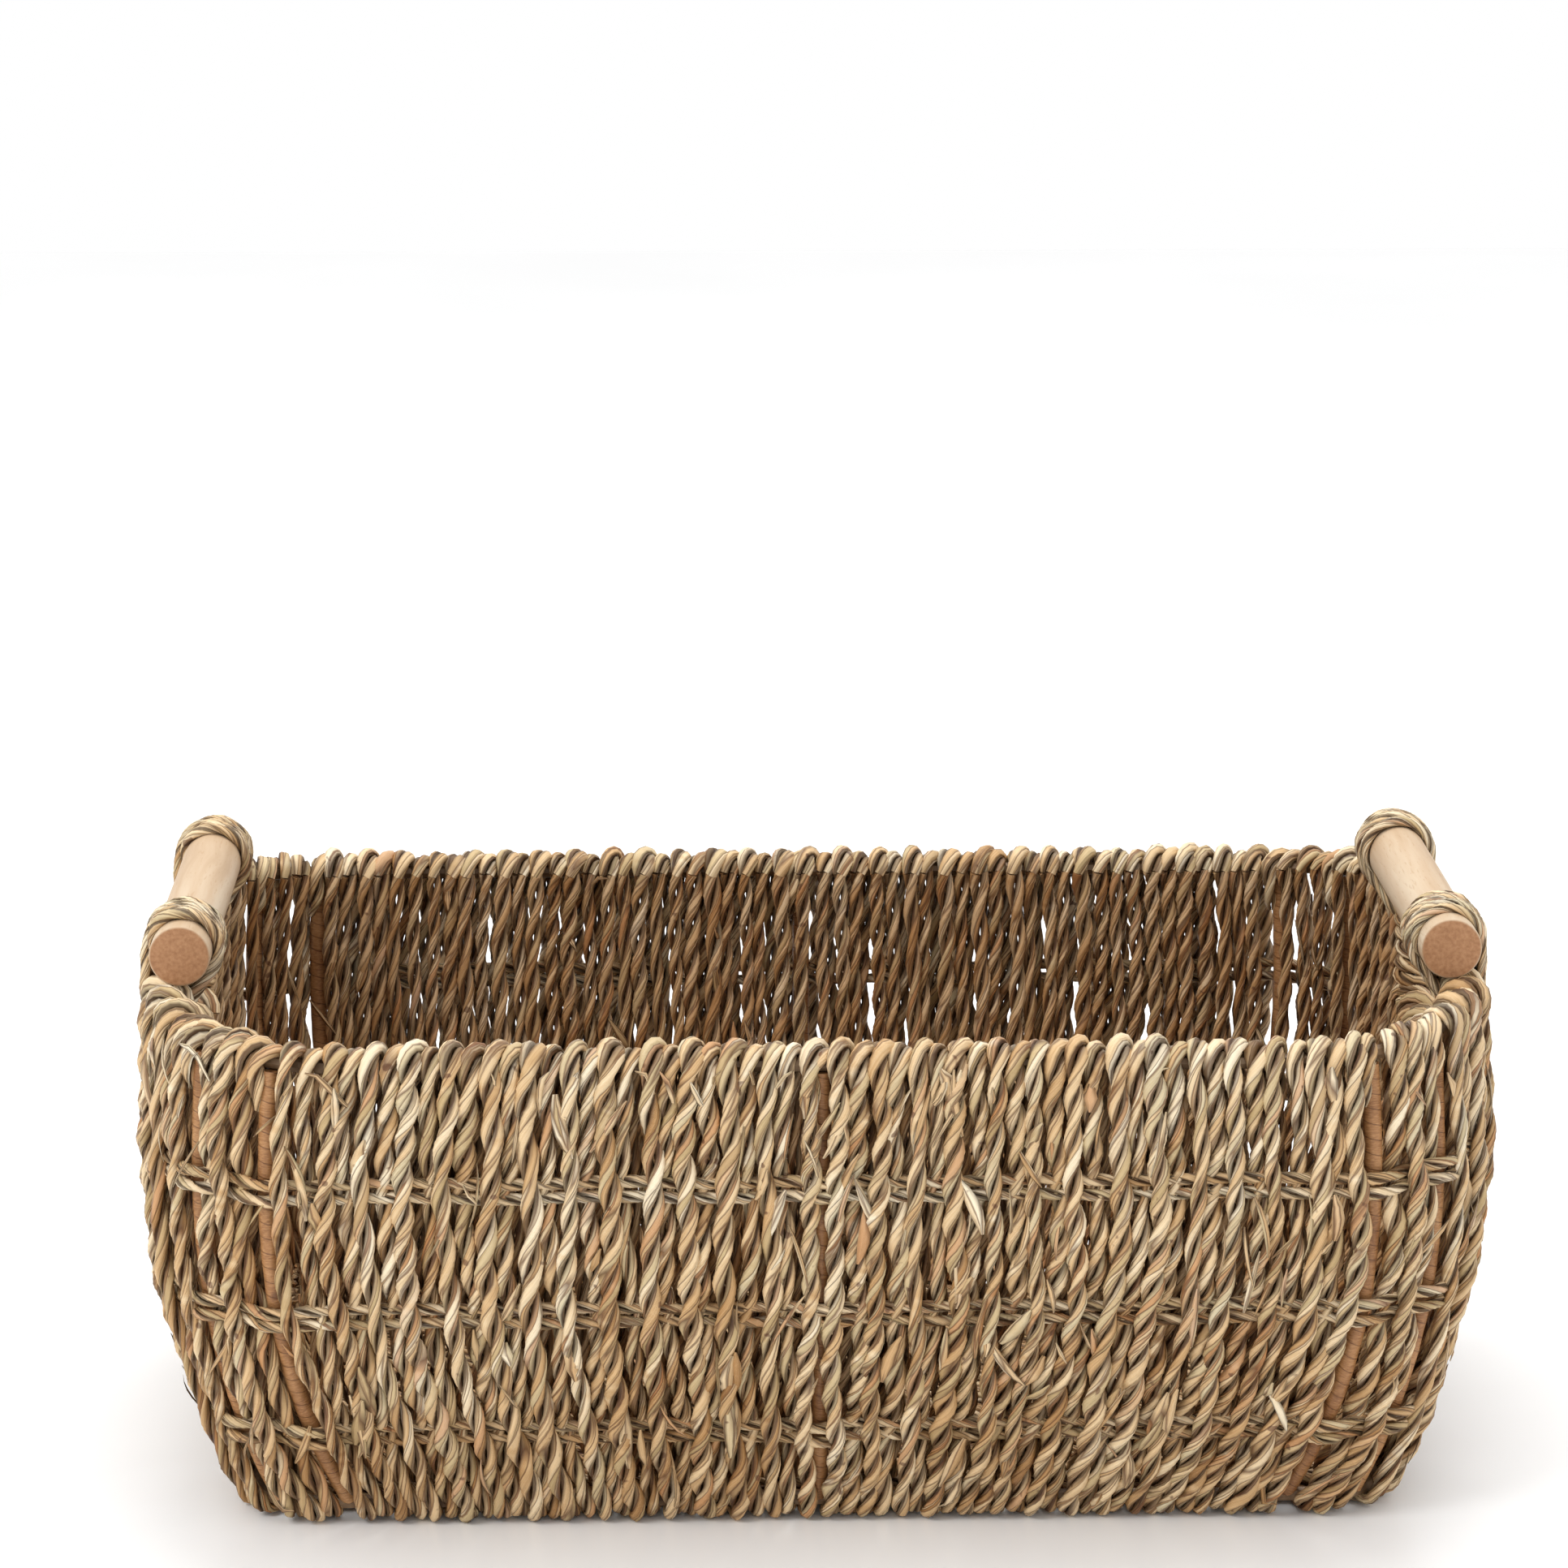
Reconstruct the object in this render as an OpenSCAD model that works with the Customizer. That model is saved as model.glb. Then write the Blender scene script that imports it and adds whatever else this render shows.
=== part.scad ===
// Rectangular seagrass storage basket with two wooden bar handles.
// A welded wire frame is hidden between two layers of vertical cords. The cords loop over the
// rim wire and round the base wire, and dowels are lashed over a hand opening in each end wall.
// Origin: middle of the footprint, on the surface the basket stands on. +X is along its length.

/* [Basket] */
// Outer length at the rim
rim_length = 412; // [380:1:440]
// Outer width at the rim
rim_width = 250; // [230:1:270]
// Height of the rim's top edge on the long sides
wall_height = 160; // [150:1:180]
// How much higher the rim stands on the end walls
end_rise = 7; // [0:0.5:10]
// How far the base wire stands in from the rim wire, on every side
base_taper = 24.5; // [18:0.5:28]
// How far the walls swell out at mid height
wall_bulge = 3; // [0:0.5:5]
// How late the wall turns up from the floor
wall_turn = 2.6; // [2:0.1:3.2]
// Corner radius of the rim wire
rim_corner = 54; // [44:1:60]
// Corner radius of the base wire
base_corner = 18; // [14:1:24]

/* [Weave] */
// Thickness of one layer of cords
cord_layer = 4; // [3.5:0.1:4.5]
// Space between the two layers, for wires, ribs and hoops
layer_gap = 4.8; // [4.7:0.1:5.4]
// Diameter of the cord roll round the rim wire
roll_dia = 10.8; // [10.4:0.1:11.4]

/* [Wire frame] */
// Diameter of the rim and base wires
wire_dia = 4.5; // [4:0.1:4.6]
// Diameter of a rib, a wire wrapped in brown tape
rib_dia = 4.2; // [3.6:0.1:4.4]
// Height of a hoop, a pair of strands one above the other
hoop_height = 9; // [7:0.1:10]
// Heights of the three hoops above the floor
hoop_levels = [35, 76, 116.6];
// Pitch of the bars across the floor
bar_pitch = 46; // [40:1:48]

/* [Handles] */
// Dowel diameter
dowel_dia = 19; // [17:0.5:21]
// Dowel length
dowel_length = 146; // [136:1:156]
// Distance between the dowels' centrelines
dowel_span = 394; // [390:1:400]
// Bevel round the dowel's ends
dowel_bevel = 1; // [0.5:0.1:2]
// Clear width of a hand opening
opening_width = 83.2; // [76:0.1:88]
// Clear height of a hand opening, up to the top of the rim beside it
opening_depth = 37; // [32:1:40]
// Distance between the two lashings of one dowel
lashing_span = 111; // [106:1:114]
// Width of a lashing along the dowel
lashing_width = 17; // [14:1:20]
// Outer radius of a lashing
lashing_radius = 12.6; // [12:0.1:13.4]

/* [Hidden] */
straw = [0.70, 0.58, 0.42];
straw_dark = [0.58, 0.46, 0.31];
tape_brown = [0.66, 0.48, 0.31];
steel_grey = [0.55, 0.55, 0.56];
pale_wood = [0.87, 0.76, 0.60];

clearance = 0.3;
sides = 8;
roll_r = roll_dia / 2;
wire_r = wire_dia / 2;
rib_r = rib_dia / 2;
gap_half = layer_gap / 2;
layer_out = gap_half + cord_layer;

// Driving shape of the wall's middle surface: half sizes at the rim, and the heights it spans
half_x = rim_length / 2 - roll_r;
half_y = rim_width / 2 - roll_r;
base_z = layer_out;
rim_z = wall_height - roll_r;
floor_top = 2 * layer_out;

// Rib places, as the share of a quarter of the perimeter from an end wall's middle
side_share = 0.205;
corner_share = 0.36;
long_share = 0.443;

// Hand opening: the rim wire dips in a U with rounded turns
leg_y = opening_width / 2 + roll_r;
leg_top_r = 6;
leg_low_r = 9;
end_z = rim_z + end_rise;
sill_z = end_z - opening_depth;

// ---- The wall's middle surface ----
// t runs from 0 at the base wire to 1 at the rim wire.
// A station runs over one quarter of the perimeter, from the middle of an end wall (0) along
// its straight (to 1), round the corner (to 2) and along the long wall to its middle (3).

function rise_share(t) = 1 - pow(1 - t, wall_turn);
function inset(t) = base_taper * (1 - rise_share(t)) - wall_bulge * sin(180 * t);
function corner_r(t) = base_corner + (rim_corner - base_corner) * rise_share(t);
function smooth(x) = x * x * (3 - 2 * x);
function top_z(st) = rim_z + end_rise * smooth(max(0, min(1, 2 - st)));

// Lean of the wall from the vertical, in degrees
function lean(t) =
    let (bulge_rate = wall_bulge * PI * cos(180 * t))
    let (taper_rate = base_taper * wall_turn * pow(1 - t, wall_turn - 1))
    atan((taper_rate + bulge_rate) / (rim_z - base_z));

// Direction straight out of the wall, in plan
function out_dir(st) = let (turn = 90 * max(0, min(1, st - 1))) [cos(turn), sin(turn), 0];

// A place in the first quarter: middle surface at (st, t), moved out by off
function quarter_point(st, t, off = 0) =
    let (r = corner_r(t), mid_x = half_x - inset(t) - r, mid_y = half_y - inset(t) - r)
    let (corner = [mid_x * min(1, 3 - st), mid_y * min(1, st), 0])
    let (level = base_z + t * (top_z(st) - base_z) - off * sin(lean(t)))
    corner + (r + off * cos(lean(t))) * out_dir(st) + [0, 0, level];

// Length of the three stretches of a quarter at level t
function stretches(t) =
    let (r = corner_r(t), i = inset(t))
    [half_y - i - r, r * PI / 2, half_x - i - r];

// Station of a share of the quarter's own length at level t
function station(share, t) =
    let (part = stretches(t), s = share * (part[0] + part[1] + part[2]))
    s < part[0] ? s / part[0]
    : s < part[0] + part[1] ? 1 + (s - part[0]) / part[1]
    : 2 + (s - part[0] - part[1]) / part[2];

// A quarter is mirrored by the signs of x and y
function flip(p, signs) = [p[0] * signs[0], p[1] * signs[1], p[2]];

// ---- Skins and sweeps ----
// A frame is [point, outward direction, free direction]; a section is a list of [out, free].

function ring_of(frame, section) = [for (q = section) frame[0] + q[0] * frame[1] + q[1] * frame[2]];
function circle_section(r) = [for (i = [0:sides - 1]) r * [cos(360 * i / sides), sin(360 * i / sides)]];
function oval_section(half_out, half_free) =
    [for (q = circle_section(1)) [q[0] * half_out, q[1] * half_free]];

// The roll is open towards the wall, where ribs and wall cords come up to the wire
function roll_section(steps = 8) = concat(
    [for (i = [0:steps]) let (a = -65 + 310 * i / steps) roll_r * [cos(a), sin(a)]],
    [for (i = [0:steps]) let (a = 202 - 224 * i / steps) gap_half * [cos(a), sin(a)]]
);

module skin(rings, closed = false) {
    m = len(rings[0]);
    n = len(rings);
    walls = [
        for (i = [0:1:n - (closed ? 1 : 2)])
        for (j = [0:1:m - 1])
        let (a = i * m + j, b = i * m + (j + 1) % m, k = ((i + 1) % n) * m)
        let (c = k + (j + 1) % m, d = k + j)
        each [[a, b, c], [a, c, d]]
    ];
    // An end is closed by strips across the section, which suits a section that bends back on itself
    far = (n - 1) * m;
    near_cap = [for (j = [0:1:m / 2 - 2]) [m - 1 - j, m - 2 - j, j + 1, j]];
    far_cap = [for (j = [0:1:m / 2 - 2]) [far + j, far + j + 1, far + m - 2 - j, far + m - 1 - j]];
    caps = closed ? [] : concat(near_cap, far_cap);
    polyhedron(points = [for (r = rings) each r], faces = concat(walls, caps), convexity = 8);
}

module sweep(frames, section, closed = false) {
    skin([for (frame = frames) ring_of(frame, section)], closed);
}

// ---- Routes ----

function flip_frame(frame, signs) = [for (v = frame) flip(v, signs)];
function backwards(list) = [for (i = [len(list) - 1:-1:0]) list[i]];
function level_frame(st, t) = [quarter_point(st, t), out_dir(st), [0, 0, 1]];

// Frames of the first quarter between two stations, along the rim or the base wire
corner_steps = 8;
function stations(from, to) =
    let (inner = [for (i = [0:corner_steps]) 1 + i / corner_steps])
    concat([from], [for (s = inner) if (s > from && s < to) s], [to]);
function quarter_route(t, from, to) = [for (s = stations(from, to)) level_frame(s, t)];

// The same stretch in any quarter, always running anticlockwise seen from above
function route(t, from, to, signs) =
    let (frames = [for (frame = quarter_route(t, from, to)) flip_frame(frame, signs)])
    signs[0] * signs[1] > 0 ? frames : backwards(frames);

// The U round a hand opening, from its front shoulder to its back one, on the right end wall
function turn_frames(y, z, r, from, to, side) =
    let (depth = inset(side > 0 ? 1 : (sill_z - base_z) / (end_z - base_z)))
    [
        for (i = [0:4]) let (a = from + (to - from) * i / 4, free = [0, cos(a), sin(a)])
        [[half_x - depth, y + side * r * cos(a), z + side * r * sin(a)], [1, 0, 0], free]
    ];
function opening_turns() =
    let (top_y = leg_y + leg_top_r, low_y = leg_y - leg_low_r)
    let (top = end_z - leg_top_r, low = sill_z + leg_low_r)
    [
        turn_frames(-top_y, top, leg_top_r, 90, 0, 1),
        turn_frames(-low_y, low, leg_low_r, 0, 90, -1),
        turn_frames(low_y, low, leg_low_r, 90, 180, -1),
        turn_frames(top_y, top, leg_top_r, 180, 90, 1)
    ];
function opening_route() = [for (turn = opening_turns()) each turn];
shoulder_station = (leg_y + leg_top_r) / stretches(1)[0];

// Half turn about Z, for what stands on the left end wall
half_turn = [-1, -1];
function turned(frames) = [for (frame = frames) flip_frame(frame, half_turn)];

// The rim runs right round, dipping into the U at each end; doubled places are left out
function tail(list) = [for (i = [1:1:len(list) - 1]) list[i]];
function half_rim() = concat(
    tail(opening_route()),
    tail(route(1, shoulder_station, 3, [1, 1])),
    tail(route(1, shoulder_station, 3, [-1, 1]))
);
function base_ring() = concat(
    tail(route(0, 0, 3, [1, 1])), tail(route(0, 0, 3, [-1, 1])),
    tail(route(0, 0, 3, [-1, -1])), tail(route(0, 0, 3, [1, -1]))
);

// ---- Wire frame ----

module rim_wire() {
    color(steel_grey) sweep(concat(half_rim(), turned(half_rim())), circle_section(wire_r), true);
}

module base_wire() {
    color(steel_grey) sweep(base_ring(), circle_section(wire_r), true);
}

// A rib stands between the layers from the base wire to the wire above it
function rib_frame(share, t, signs) =
    let (st = station(share, t), p = quarter_point(st, t), n = out_dir(st))
    flip_frame([p, n, [n[1], -n[0], 0]], signs);
module rib(share, signs, top = rim_z) {
    steps = 7;
    room = wire_r + clearance;
    height = top_z(station(share, 1)) - base_z;
    from = room / height;
    to = ((top == rim_z ? height : top - base_z) - room) / height;
    frames = [for (i = [0:steps]) rib_frame(share, from + (to - from) * i / steps, signs)];
    color(tape_brown)
    sweep(signs[0] * signs[1] > 0 ? frames : backwards(frames), circle_section(rib_r));
}

module rib_front_left() { rib(long_share, [-1, -1]); }
module rib_front_centre() { rib(1, [1, -1]); }
module rib_front_right() { rib(long_share, [1, -1]); }
module rib_back_left() { rib(long_share, [-1, 1]); }
module rib_back_centre() { rib(1, [1, 1]); }
module rib_back_right() { rib(long_share, [1, 1]); }
module rib_corner_front_left() { rib(corner_share, [-1, -1]); }
module rib_corner_front_right() { rib(corner_share, [1, -1]); }
module rib_corner_back_left() { rib(corner_share, [-1, 1]); }
module rib_corner_back_right() { rib(corner_share, [1, 1]); }
module rib_left_front() { rib(side_share, [-1, -1]); }
module rib_left_centre() { rib(0, [-1, 1], sill_z); }
module rib_left_back() { rib(side_share, [-1, 1]); }
module rib_right_front() { rib(side_share, [1, -1]); }
module rib_right_centre() { rib(0, [1, 1], sill_z); }
module rib_right_back() { rib(side_share, [1, 1]); }

// A hoop runs round the basket at one height, in spans that stop at each rib and lean with the wall
function leaning_frame(st, t) =
    let (out = out_dir(st), up = [0, 0, 1], a = lean(t))
    [quarter_point(st, t), cos(a) * out - sin(a) * up, sin(a) * out + cos(a) * up];
function hoop_t(level, st) = (level - base_z) / (top_z(st) - base_z);
function hoop_station(share, level) = station(share, hoop_t(level, station(share, 0.5)));
module hoop_span(level, from, to, signs) {
    t_mid = (level - base_z) / (rim_z - base_z);
    part = stretches(t_mid);
    room = (rib_r + clearance) / (part[0] + part[1] + part[2]);
    ends = stations(hoop_station(from + room, level), hoop_station(to - room, level));
    frames = [for (s = ends) flip_frame(leaning_frame(s, hoop_t(level, s)), signs)];
    sweep(signs[0] * signs[1] > 0 ? frames : backwards(frames),
        oval_section(gap_half - clearance, hoop_height / 2));
}
module hoop(level) {
    shares = [0, side_share, corner_share, long_share, 1];
    color(straw_dark)
    for (signs = [[1, 1], [-1, 1], [-1, -1], [1, -1]])
    for (i = [0:len(shares) - 2])
    hoop_span(level, shares[i], shares[i + 1], signs);
}
module hoop_lower() { hoop(hoop_levels[0]); }
module hoop_middle() { hoop(hoop_levels[1]); }
module hoop_upper() { hoop(hoop_levels[2]); }

// Bars cross the floor from one long side of the base wire to the other
module floor_bar(i) {
    bar_length = 2 * (half_y - base_taper - wire_r - clearance);
    color(tape_brown)
    translate([(i - 4) * bar_pitch, 0, base_z])
    rotate([90, 0, 0])
    cylinder(h = bar_length, r = rib_r, center = true, $fn = 24);
}
module floor_bar_1() { floor_bar(1); }
module floor_bar_2() { floor_bar(2); }
module floor_bar_3() { floor_bar(3); }
module floor_bar_4() { floor_bar(4); }
module floor_bar_5() { floor_bar(5); }
module floor_bar_6() { floor_bar(6); }
module floor_bar_7() { floor_bar(7); }

// ---- Weave ----

// Floor layer: a flat plate of lengthwise cords inside the base wire's outline
module floor_plate(shade, from_z, margin) {
    long = 2 * (half_x - base_taper - margin);
    wide = 2 * (half_y - base_taper - margin);
    r = base_corner - margin;
    color(shade)
    translate([0, 0, from_z])
    linear_extrude(cord_layer)
    union() {
        square([long - 2 * r, wide], center = true);
        square([long, wide - 2 * r], center = true);
        for (x = [-1, 1], y = [-1, 1])
        translate([x * (long / 2 - r), y * (wide / 2 - r)])
        circle(r, $fn = 48);
    }
}
module floor_lower() { floor_plate(straw, 0, clearance); }
module floor_upper() { floor_plate(straw_dark, base_z + gap_half, 5 * clearance); }

// The notch under a hand opening leaves room for the roll round it
notch_station = (leg_y + roll_r + 2 * clearance) / stretches(1)[0];
notch_step = 0.01;
function wall_top(st) = st < notch_station ? sill_z - roll_r : top_z(st) - roll_r;
function wall_t(st, share) = share * (wall_top(st) - clearance - base_z) / (top_z(st) - base_z);
rows = 8;

// Outer layer: up the wall's outside, and round under the base wire to the floor's lower layer
function under_arc(st, r, from, to) = [
    for (i = [0:3]) let (a = from + (to - from) * i / 3)
    quarter_point(st, 0) + r * (cos(a) * out_dir(st) + [0, 0, sin(a)])
];
function outer_ring(st) = concat(
    under_arc(st, layer_out, -90, -lean(0)),
    [for (i = [1:rows]) quarter_point(st, wall_t(st, i / rows), layer_out)],
    [for (i = [rows:-1:1]) quarter_point(st, wall_t(st, i / rows), gap_half)],
    under_arc(st, gap_half, -lean(0), -90)
);

// Inner layer: stands on the floor's upper layer
function inner_ring(st) =
    let (foot = (floor_top + 2 * clearance - base_z) / (wall_top(st) - base_z))
    concat(
        [for (i = [0:rows]) quarter_point(st, wall_t(st, foot + (1 - foot) * i / rows), -gap_half)],
        [for (i = [rows:-1:0]) quarter_point(st, wall_t(st, foot + (1 - foot) * i / rows), -layer_out)]
    );

function flip_ring(ring, signs) = [for (p = ring) flip(p, signs)];
joint_station = 1.5;
long_stations = concat([3, 2], [for (i = [1:4]) 2 - i * (2 - joint_station) / 4]);
end_stations = concat(
    [0, 0.6, notch_station - notch_step, notch_station],
    [for (i = [0:4]) 1 + i * (joint_station - 1) / 4]
);

// A panel is the same set of rings on both sides of a wall's middle
function long_rings(side, inner) =
    let (half = [for (st = long_stations) inner ? inner_ring(st) : outer_ring(st)])
    let (right = [for (r = half) flip_ring(r, [1, side])], left = [for (r = half) flip_ring(r, [-1, side])])
    side > 0 ? concat(backwards(right), tail(left)) : concat(backwards(left), tail(right));
function end_rings(side, inner) =
    let (half = [for (st = end_stations) inner ? inner_ring(st) : outer_ring(st)])
    let (back = [for (r = half) flip_ring(r, [side, 1])], front = [for (r = half) flip_ring(r, [side, -1])])
    side > 0 ? concat(backwards(front), tail(back)) : concat(backwards(back), tail(front));

module outer_weave_front() { color(straw) skin(long_rings(-1, false)); }
module outer_weave_back() { color(straw) skin(long_rings(1, false)); }
module outer_weave_left() { color(straw) skin(end_rings(-1, false)); }
module outer_weave_right() { color(straw) skin(end_rings(1, false)); }
module inner_weave_front() { color(straw_dark) skin(long_rings(-1, true)); }
module inner_weave_back() { color(straw_dark) skin(long_rings(1, true)); }
module inner_weave_left() { color(straw_dark) skin(end_rings(-1, true)); }
module inner_weave_right() { color(straw_dark) skin(end_rings(1, true)); }

// ---- Rolls: the cords' loops over the rim wire ----
// A roll is made in stretches that are straight or bend one way, with a hairline between them.

hairline = 0.2;
function along(a, b) = (b - a) / norm(b - a);
function moved(frame, step) = [frame[0] + step, frame[1], frame[2]];
function trimmed(frames) =
    let (n = len(frames), first = frames[0], last = frames[n - 1])
    let (into = along(first[0], frames[1][0]), out = along(last[0], frames[n - 2][0]))
    [for (i = [0:n - 1])
        i == 0 ? moved(first, into * hairline / 2)
        : i == n - 1 ? moved(last, out * hairline / 2)
        : frames[i]];
module roll(stretch_list) {
    color(straw)
    for (frames = stretch_list)
    sweep(trimmed(frames), roll_section());
}

module rim_roll_back() {
    roll([
        route(1, joint_station, 2, [1, 1]),
        concat(route(1, 2, 3, [1, 1]), tail(route(1, 2, 3, [-1, 1]))),
        route(1, joint_station, 2, [-1, 1])
    ]);
}
module rim_roll_front() {
    roll([
        route(1, joint_station, 2, [-1, -1]),
        concat(route(1, 2, 3, [-1, -1]), tail(route(1, 2, 3, [1, -1]))),
        route(1, joint_station, 2, [1, -1])
    ]);
}
module shoulder_roll(signs) { roll([route(1, shoulder_station, joint_station, signs)]); }
module shoulder_roll_left_front() { shoulder_roll([-1, -1]); }
module shoulder_roll_left_back() { shoulder_roll([-1, 1]); }
module shoulder_roll_right_front() { shoulder_roll([1, -1]); }
module shoulder_roll_right_back() { shoulder_roll([1, 1]); }

// The turns of a hand opening's roll, and the straights that join them
function last_of(list) = list[len(list) - 1];
function opening_stretches(turns) = concat(
    turns,
    [for (i = [0:len(turns) - 2]) [last_of(turns[i]), turns[i + 1][0]]]
);
module opening_roll_left() { roll(opening_stretches([for (turn = opening_turns()) turned(turn)])); }
module opening_roll_right() { roll(opening_stretches(opening_turns())); }

// ---- Handles ----

dowel_r = dowel_dia / 2;
dowel_z = end_z + roll_r + dowel_r + clearance;

module dowel(side) {
    color(pale_wood)
    translate([side * dowel_span / 2, 0, dowel_z])
    rotate([90, 0, 0])
    rotate_extrude($fn = 64)
    polygon([
        [0, -dowel_length / 2],
        [dowel_r - dowel_bevel, -dowel_length / 2],
        [dowel_r, -dowel_length / 2 + dowel_bevel],
        [dowel_r, dowel_length / 2 - dowel_bevel],
        [dowel_r - dowel_bevel, dowel_length / 2],
        [0, dowel_length / 2]
    ]);
}
module dowel_left() { dowel(-1); }
module dowel_right() { dowel(1); }

// A lashing is thicker on top and on the inside, where its turns pile up, and straddles the roll
module lashing(side, end) {
    shift = 2;
    skirt = 8;
    color(straw)
    translate([side * dowel_span / 2, end * lashing_span / 2, dowel_z])
    rotate([90, 0, 0])
    difference() {
        union() {
            translate([-side * shift, shift, 0])
            cylinder(h = lashing_width, r = lashing_radius, center = true, $fn = 48);
            translate([0, -dowel_r, 0])
            cube([2 * dowel_r + 2 * shift, skirt, lashing_width], center = true);
        }
        cylinder(h = 2 * lashing_width, r = dowel_r + clearance / 2, center = true, $fn = 64);
        translate([side * (half_x - dowel_span / 2), end_z - dowel_z, 0])
        cylinder(h = 2 * lashing_width, r = roll_r + clearance / 2, center = true, $fn = 48);
    }
}
module lashing_left_front() { lashing(-1, -1); }
module lashing_left_back() { lashing(-1, 1); }
module lashing_right_front() { lashing(1, -1); }
module lashing_right_back() { lashing(1, 1); }

rim_wire();
base_wire();
rib_front_left();
rib_front_centre();
rib_front_right();
rib_back_left();
rib_back_centre();
rib_back_right();
rib_corner_front_left();
rib_corner_front_right();
rib_corner_back_left();
rib_corner_back_right();
rib_left_front();
rib_left_centre();
rib_left_back();
rib_right_front();
rib_right_centre();
rib_right_back();
hoop_lower();
hoop_middle();
hoop_upper();
floor_bar_1();
floor_bar_2();
floor_bar_3();
floor_bar_4();
floor_bar_5();
floor_bar_6();
floor_bar_7();
floor_lower();
floor_upper();
outer_weave_front();
outer_weave_back();
outer_weave_left();
outer_weave_right();
inner_weave_front();
inner_weave_back();
inner_weave_left();
inner_weave_right();
rim_roll_front();
rim_roll_back();
shoulder_roll_left_front();
shoulder_roll_left_back();
shoulder_roll_right_front();
shoulder_roll_right_back();
opening_roll_left();
opening_roll_right();
dowel_left();
dowel_right();
lashing_left_front();
lashing_left_back();
lashing_right_front();
lashing_right_back();
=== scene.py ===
import math
import random

import bpy
from mathutils import Matrix, Vector


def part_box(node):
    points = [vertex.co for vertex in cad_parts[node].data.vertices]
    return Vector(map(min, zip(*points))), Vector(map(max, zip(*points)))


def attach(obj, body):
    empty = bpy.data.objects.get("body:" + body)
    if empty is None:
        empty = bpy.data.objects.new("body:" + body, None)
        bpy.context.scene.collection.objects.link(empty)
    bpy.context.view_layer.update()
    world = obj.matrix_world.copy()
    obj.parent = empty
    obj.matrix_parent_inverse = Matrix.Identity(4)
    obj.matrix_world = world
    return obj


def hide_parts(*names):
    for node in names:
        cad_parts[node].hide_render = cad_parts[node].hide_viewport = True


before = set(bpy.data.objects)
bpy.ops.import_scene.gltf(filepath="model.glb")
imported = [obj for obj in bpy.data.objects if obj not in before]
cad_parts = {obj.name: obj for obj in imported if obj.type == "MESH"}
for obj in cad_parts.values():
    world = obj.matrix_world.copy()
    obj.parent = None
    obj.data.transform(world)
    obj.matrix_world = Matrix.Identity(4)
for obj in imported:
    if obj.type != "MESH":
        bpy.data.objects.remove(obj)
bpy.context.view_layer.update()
print("basket: frame loaded,", len(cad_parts), "CAD nodes")

# ---- Shape of the basket, in metres ----

basketShape = {
    "endRise": 0.007,          # the rim stands this much higher on the end walls
    "rimCorner": 0.054,
    "baseCorner": 0.018,
    "bulge": 0.003,            # how far the walls swell out
    "turnUp": 2.6,             # how late the wall turns up from the floor
    "rollRadius": 0.0054,      # the roll of cords round the rim wire
    "legFillet": 0.009,        # lower corners of a hand opening
    "topFillet": 0.006,        # its upper corners
    "layerOut": 0.0047,        # a layer of cords, from the wall's middle
}

baseLow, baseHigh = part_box("base_wire")
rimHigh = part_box("rim_wire")[1]
sillLow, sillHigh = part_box("opening_roll_right")
wireRadius = (baseHigh.z - baseLow.z) / 2
baseZ = (baseHigh.z + baseLow.z) / 2
halfX = rimHigh.x - wireRadius
halfY = rimHigh.y - wireRadius
endZ = rimHigh.z - wireRadius
rimZ = endZ - basketShape["endRise"]
taper = rimHigh.x - baseHigh.x
sillZ = sillLow.z + basketShape["rollRadius"]
legY = sillHigh.y - basketShape["topFillet"]


def smoothStep(x):
    x = min(max(x, 0.0), 1.0)
    return x * x * (3 - 2 * x)


def wallInset(rise):
    up = 1 - (1 - rise) ** basketShape["turnUp"]
    corner = basketShape["baseCorner"] + (basketShape["rimCorner"] - basketShape["baseCorner"]) * up
    return taper * (1 - up) - basketShape["bulge"] * math.sin(math.pi * rise), corner


def wallLean(rise):
    power = basketShape["turnUp"]
    slope = taper * power * (1 - rise) ** (power - 1)
    slope += basketShape["bulge"] * math.pi * math.cos(math.pi * rise)
    return math.atan(slope / (rimZ - baseZ))


def quarterRun(rise):  # length of a quarter of the wall's outline at one level
    inset, corner = wallInset(rise)
    return halfX + halfY - 2 * inset - 2 * corner + corner * math.pi / 2


rimQuarter = quarterRun(1)
quarterSigns = ((1, 1), (-1, 1), (-1, -1), (1, -1))


# A spot on the wall's middle surface. Place counts quarters from the right end wall's middle,
# anticlockwise seen from above; rise runs from 0 at the base wire to 1 at the rim wire.
def wallSpot(place, rise):
    quarter = int(place % 4)
    share = place % 1
    signX, signY = quarterSigns[quarter]
    if quarter % 2:
        share = 1 - share
    rise = min(max(rise, 0.0), 1.0)
    inset, corner = wallInset(rise)
    midX, midY = halfX - inset - corner, halfY - inset - corner
    run = share * (midX + midY + corner * math.pi / 2)
    turn = min(max((run - midY) / corner, 0.0), math.pi / 2)
    x = midX + corner * math.cos(turn) - max(run - midY - corner * math.pi / 2, 0.0)
    y = min(run, midY) + corner * math.sin(turn)
    top = rimZ + basketShape["endRise"] * smoothStep(1 - turn * 2 / math.pi)
    out = Vector((math.cos(turn) * signX, math.sin(turn) * signY, 0))
    return Vector((x * signX, y * signY, baseZ + rise * (top - baseZ))), out


# The same spot moved off the wall, and the way the wall faces there
def wallAt(place, rise, off):
    spot, out = wallSpot(place, rise)
    lean = wallLean(min(max(rise, 0.0), 1.0))
    facing = out * math.cos(lean) - Vector((0, 0, math.sin(lean)))
    return spot + facing * off, facing


def roundWire(centre, out, angle, radius):
    facing = out * math.cos(angle) + Vector((0, 0, math.sin(angle)))
    return centre + facing * radius, facing


# ---- Node helpers ----

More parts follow.
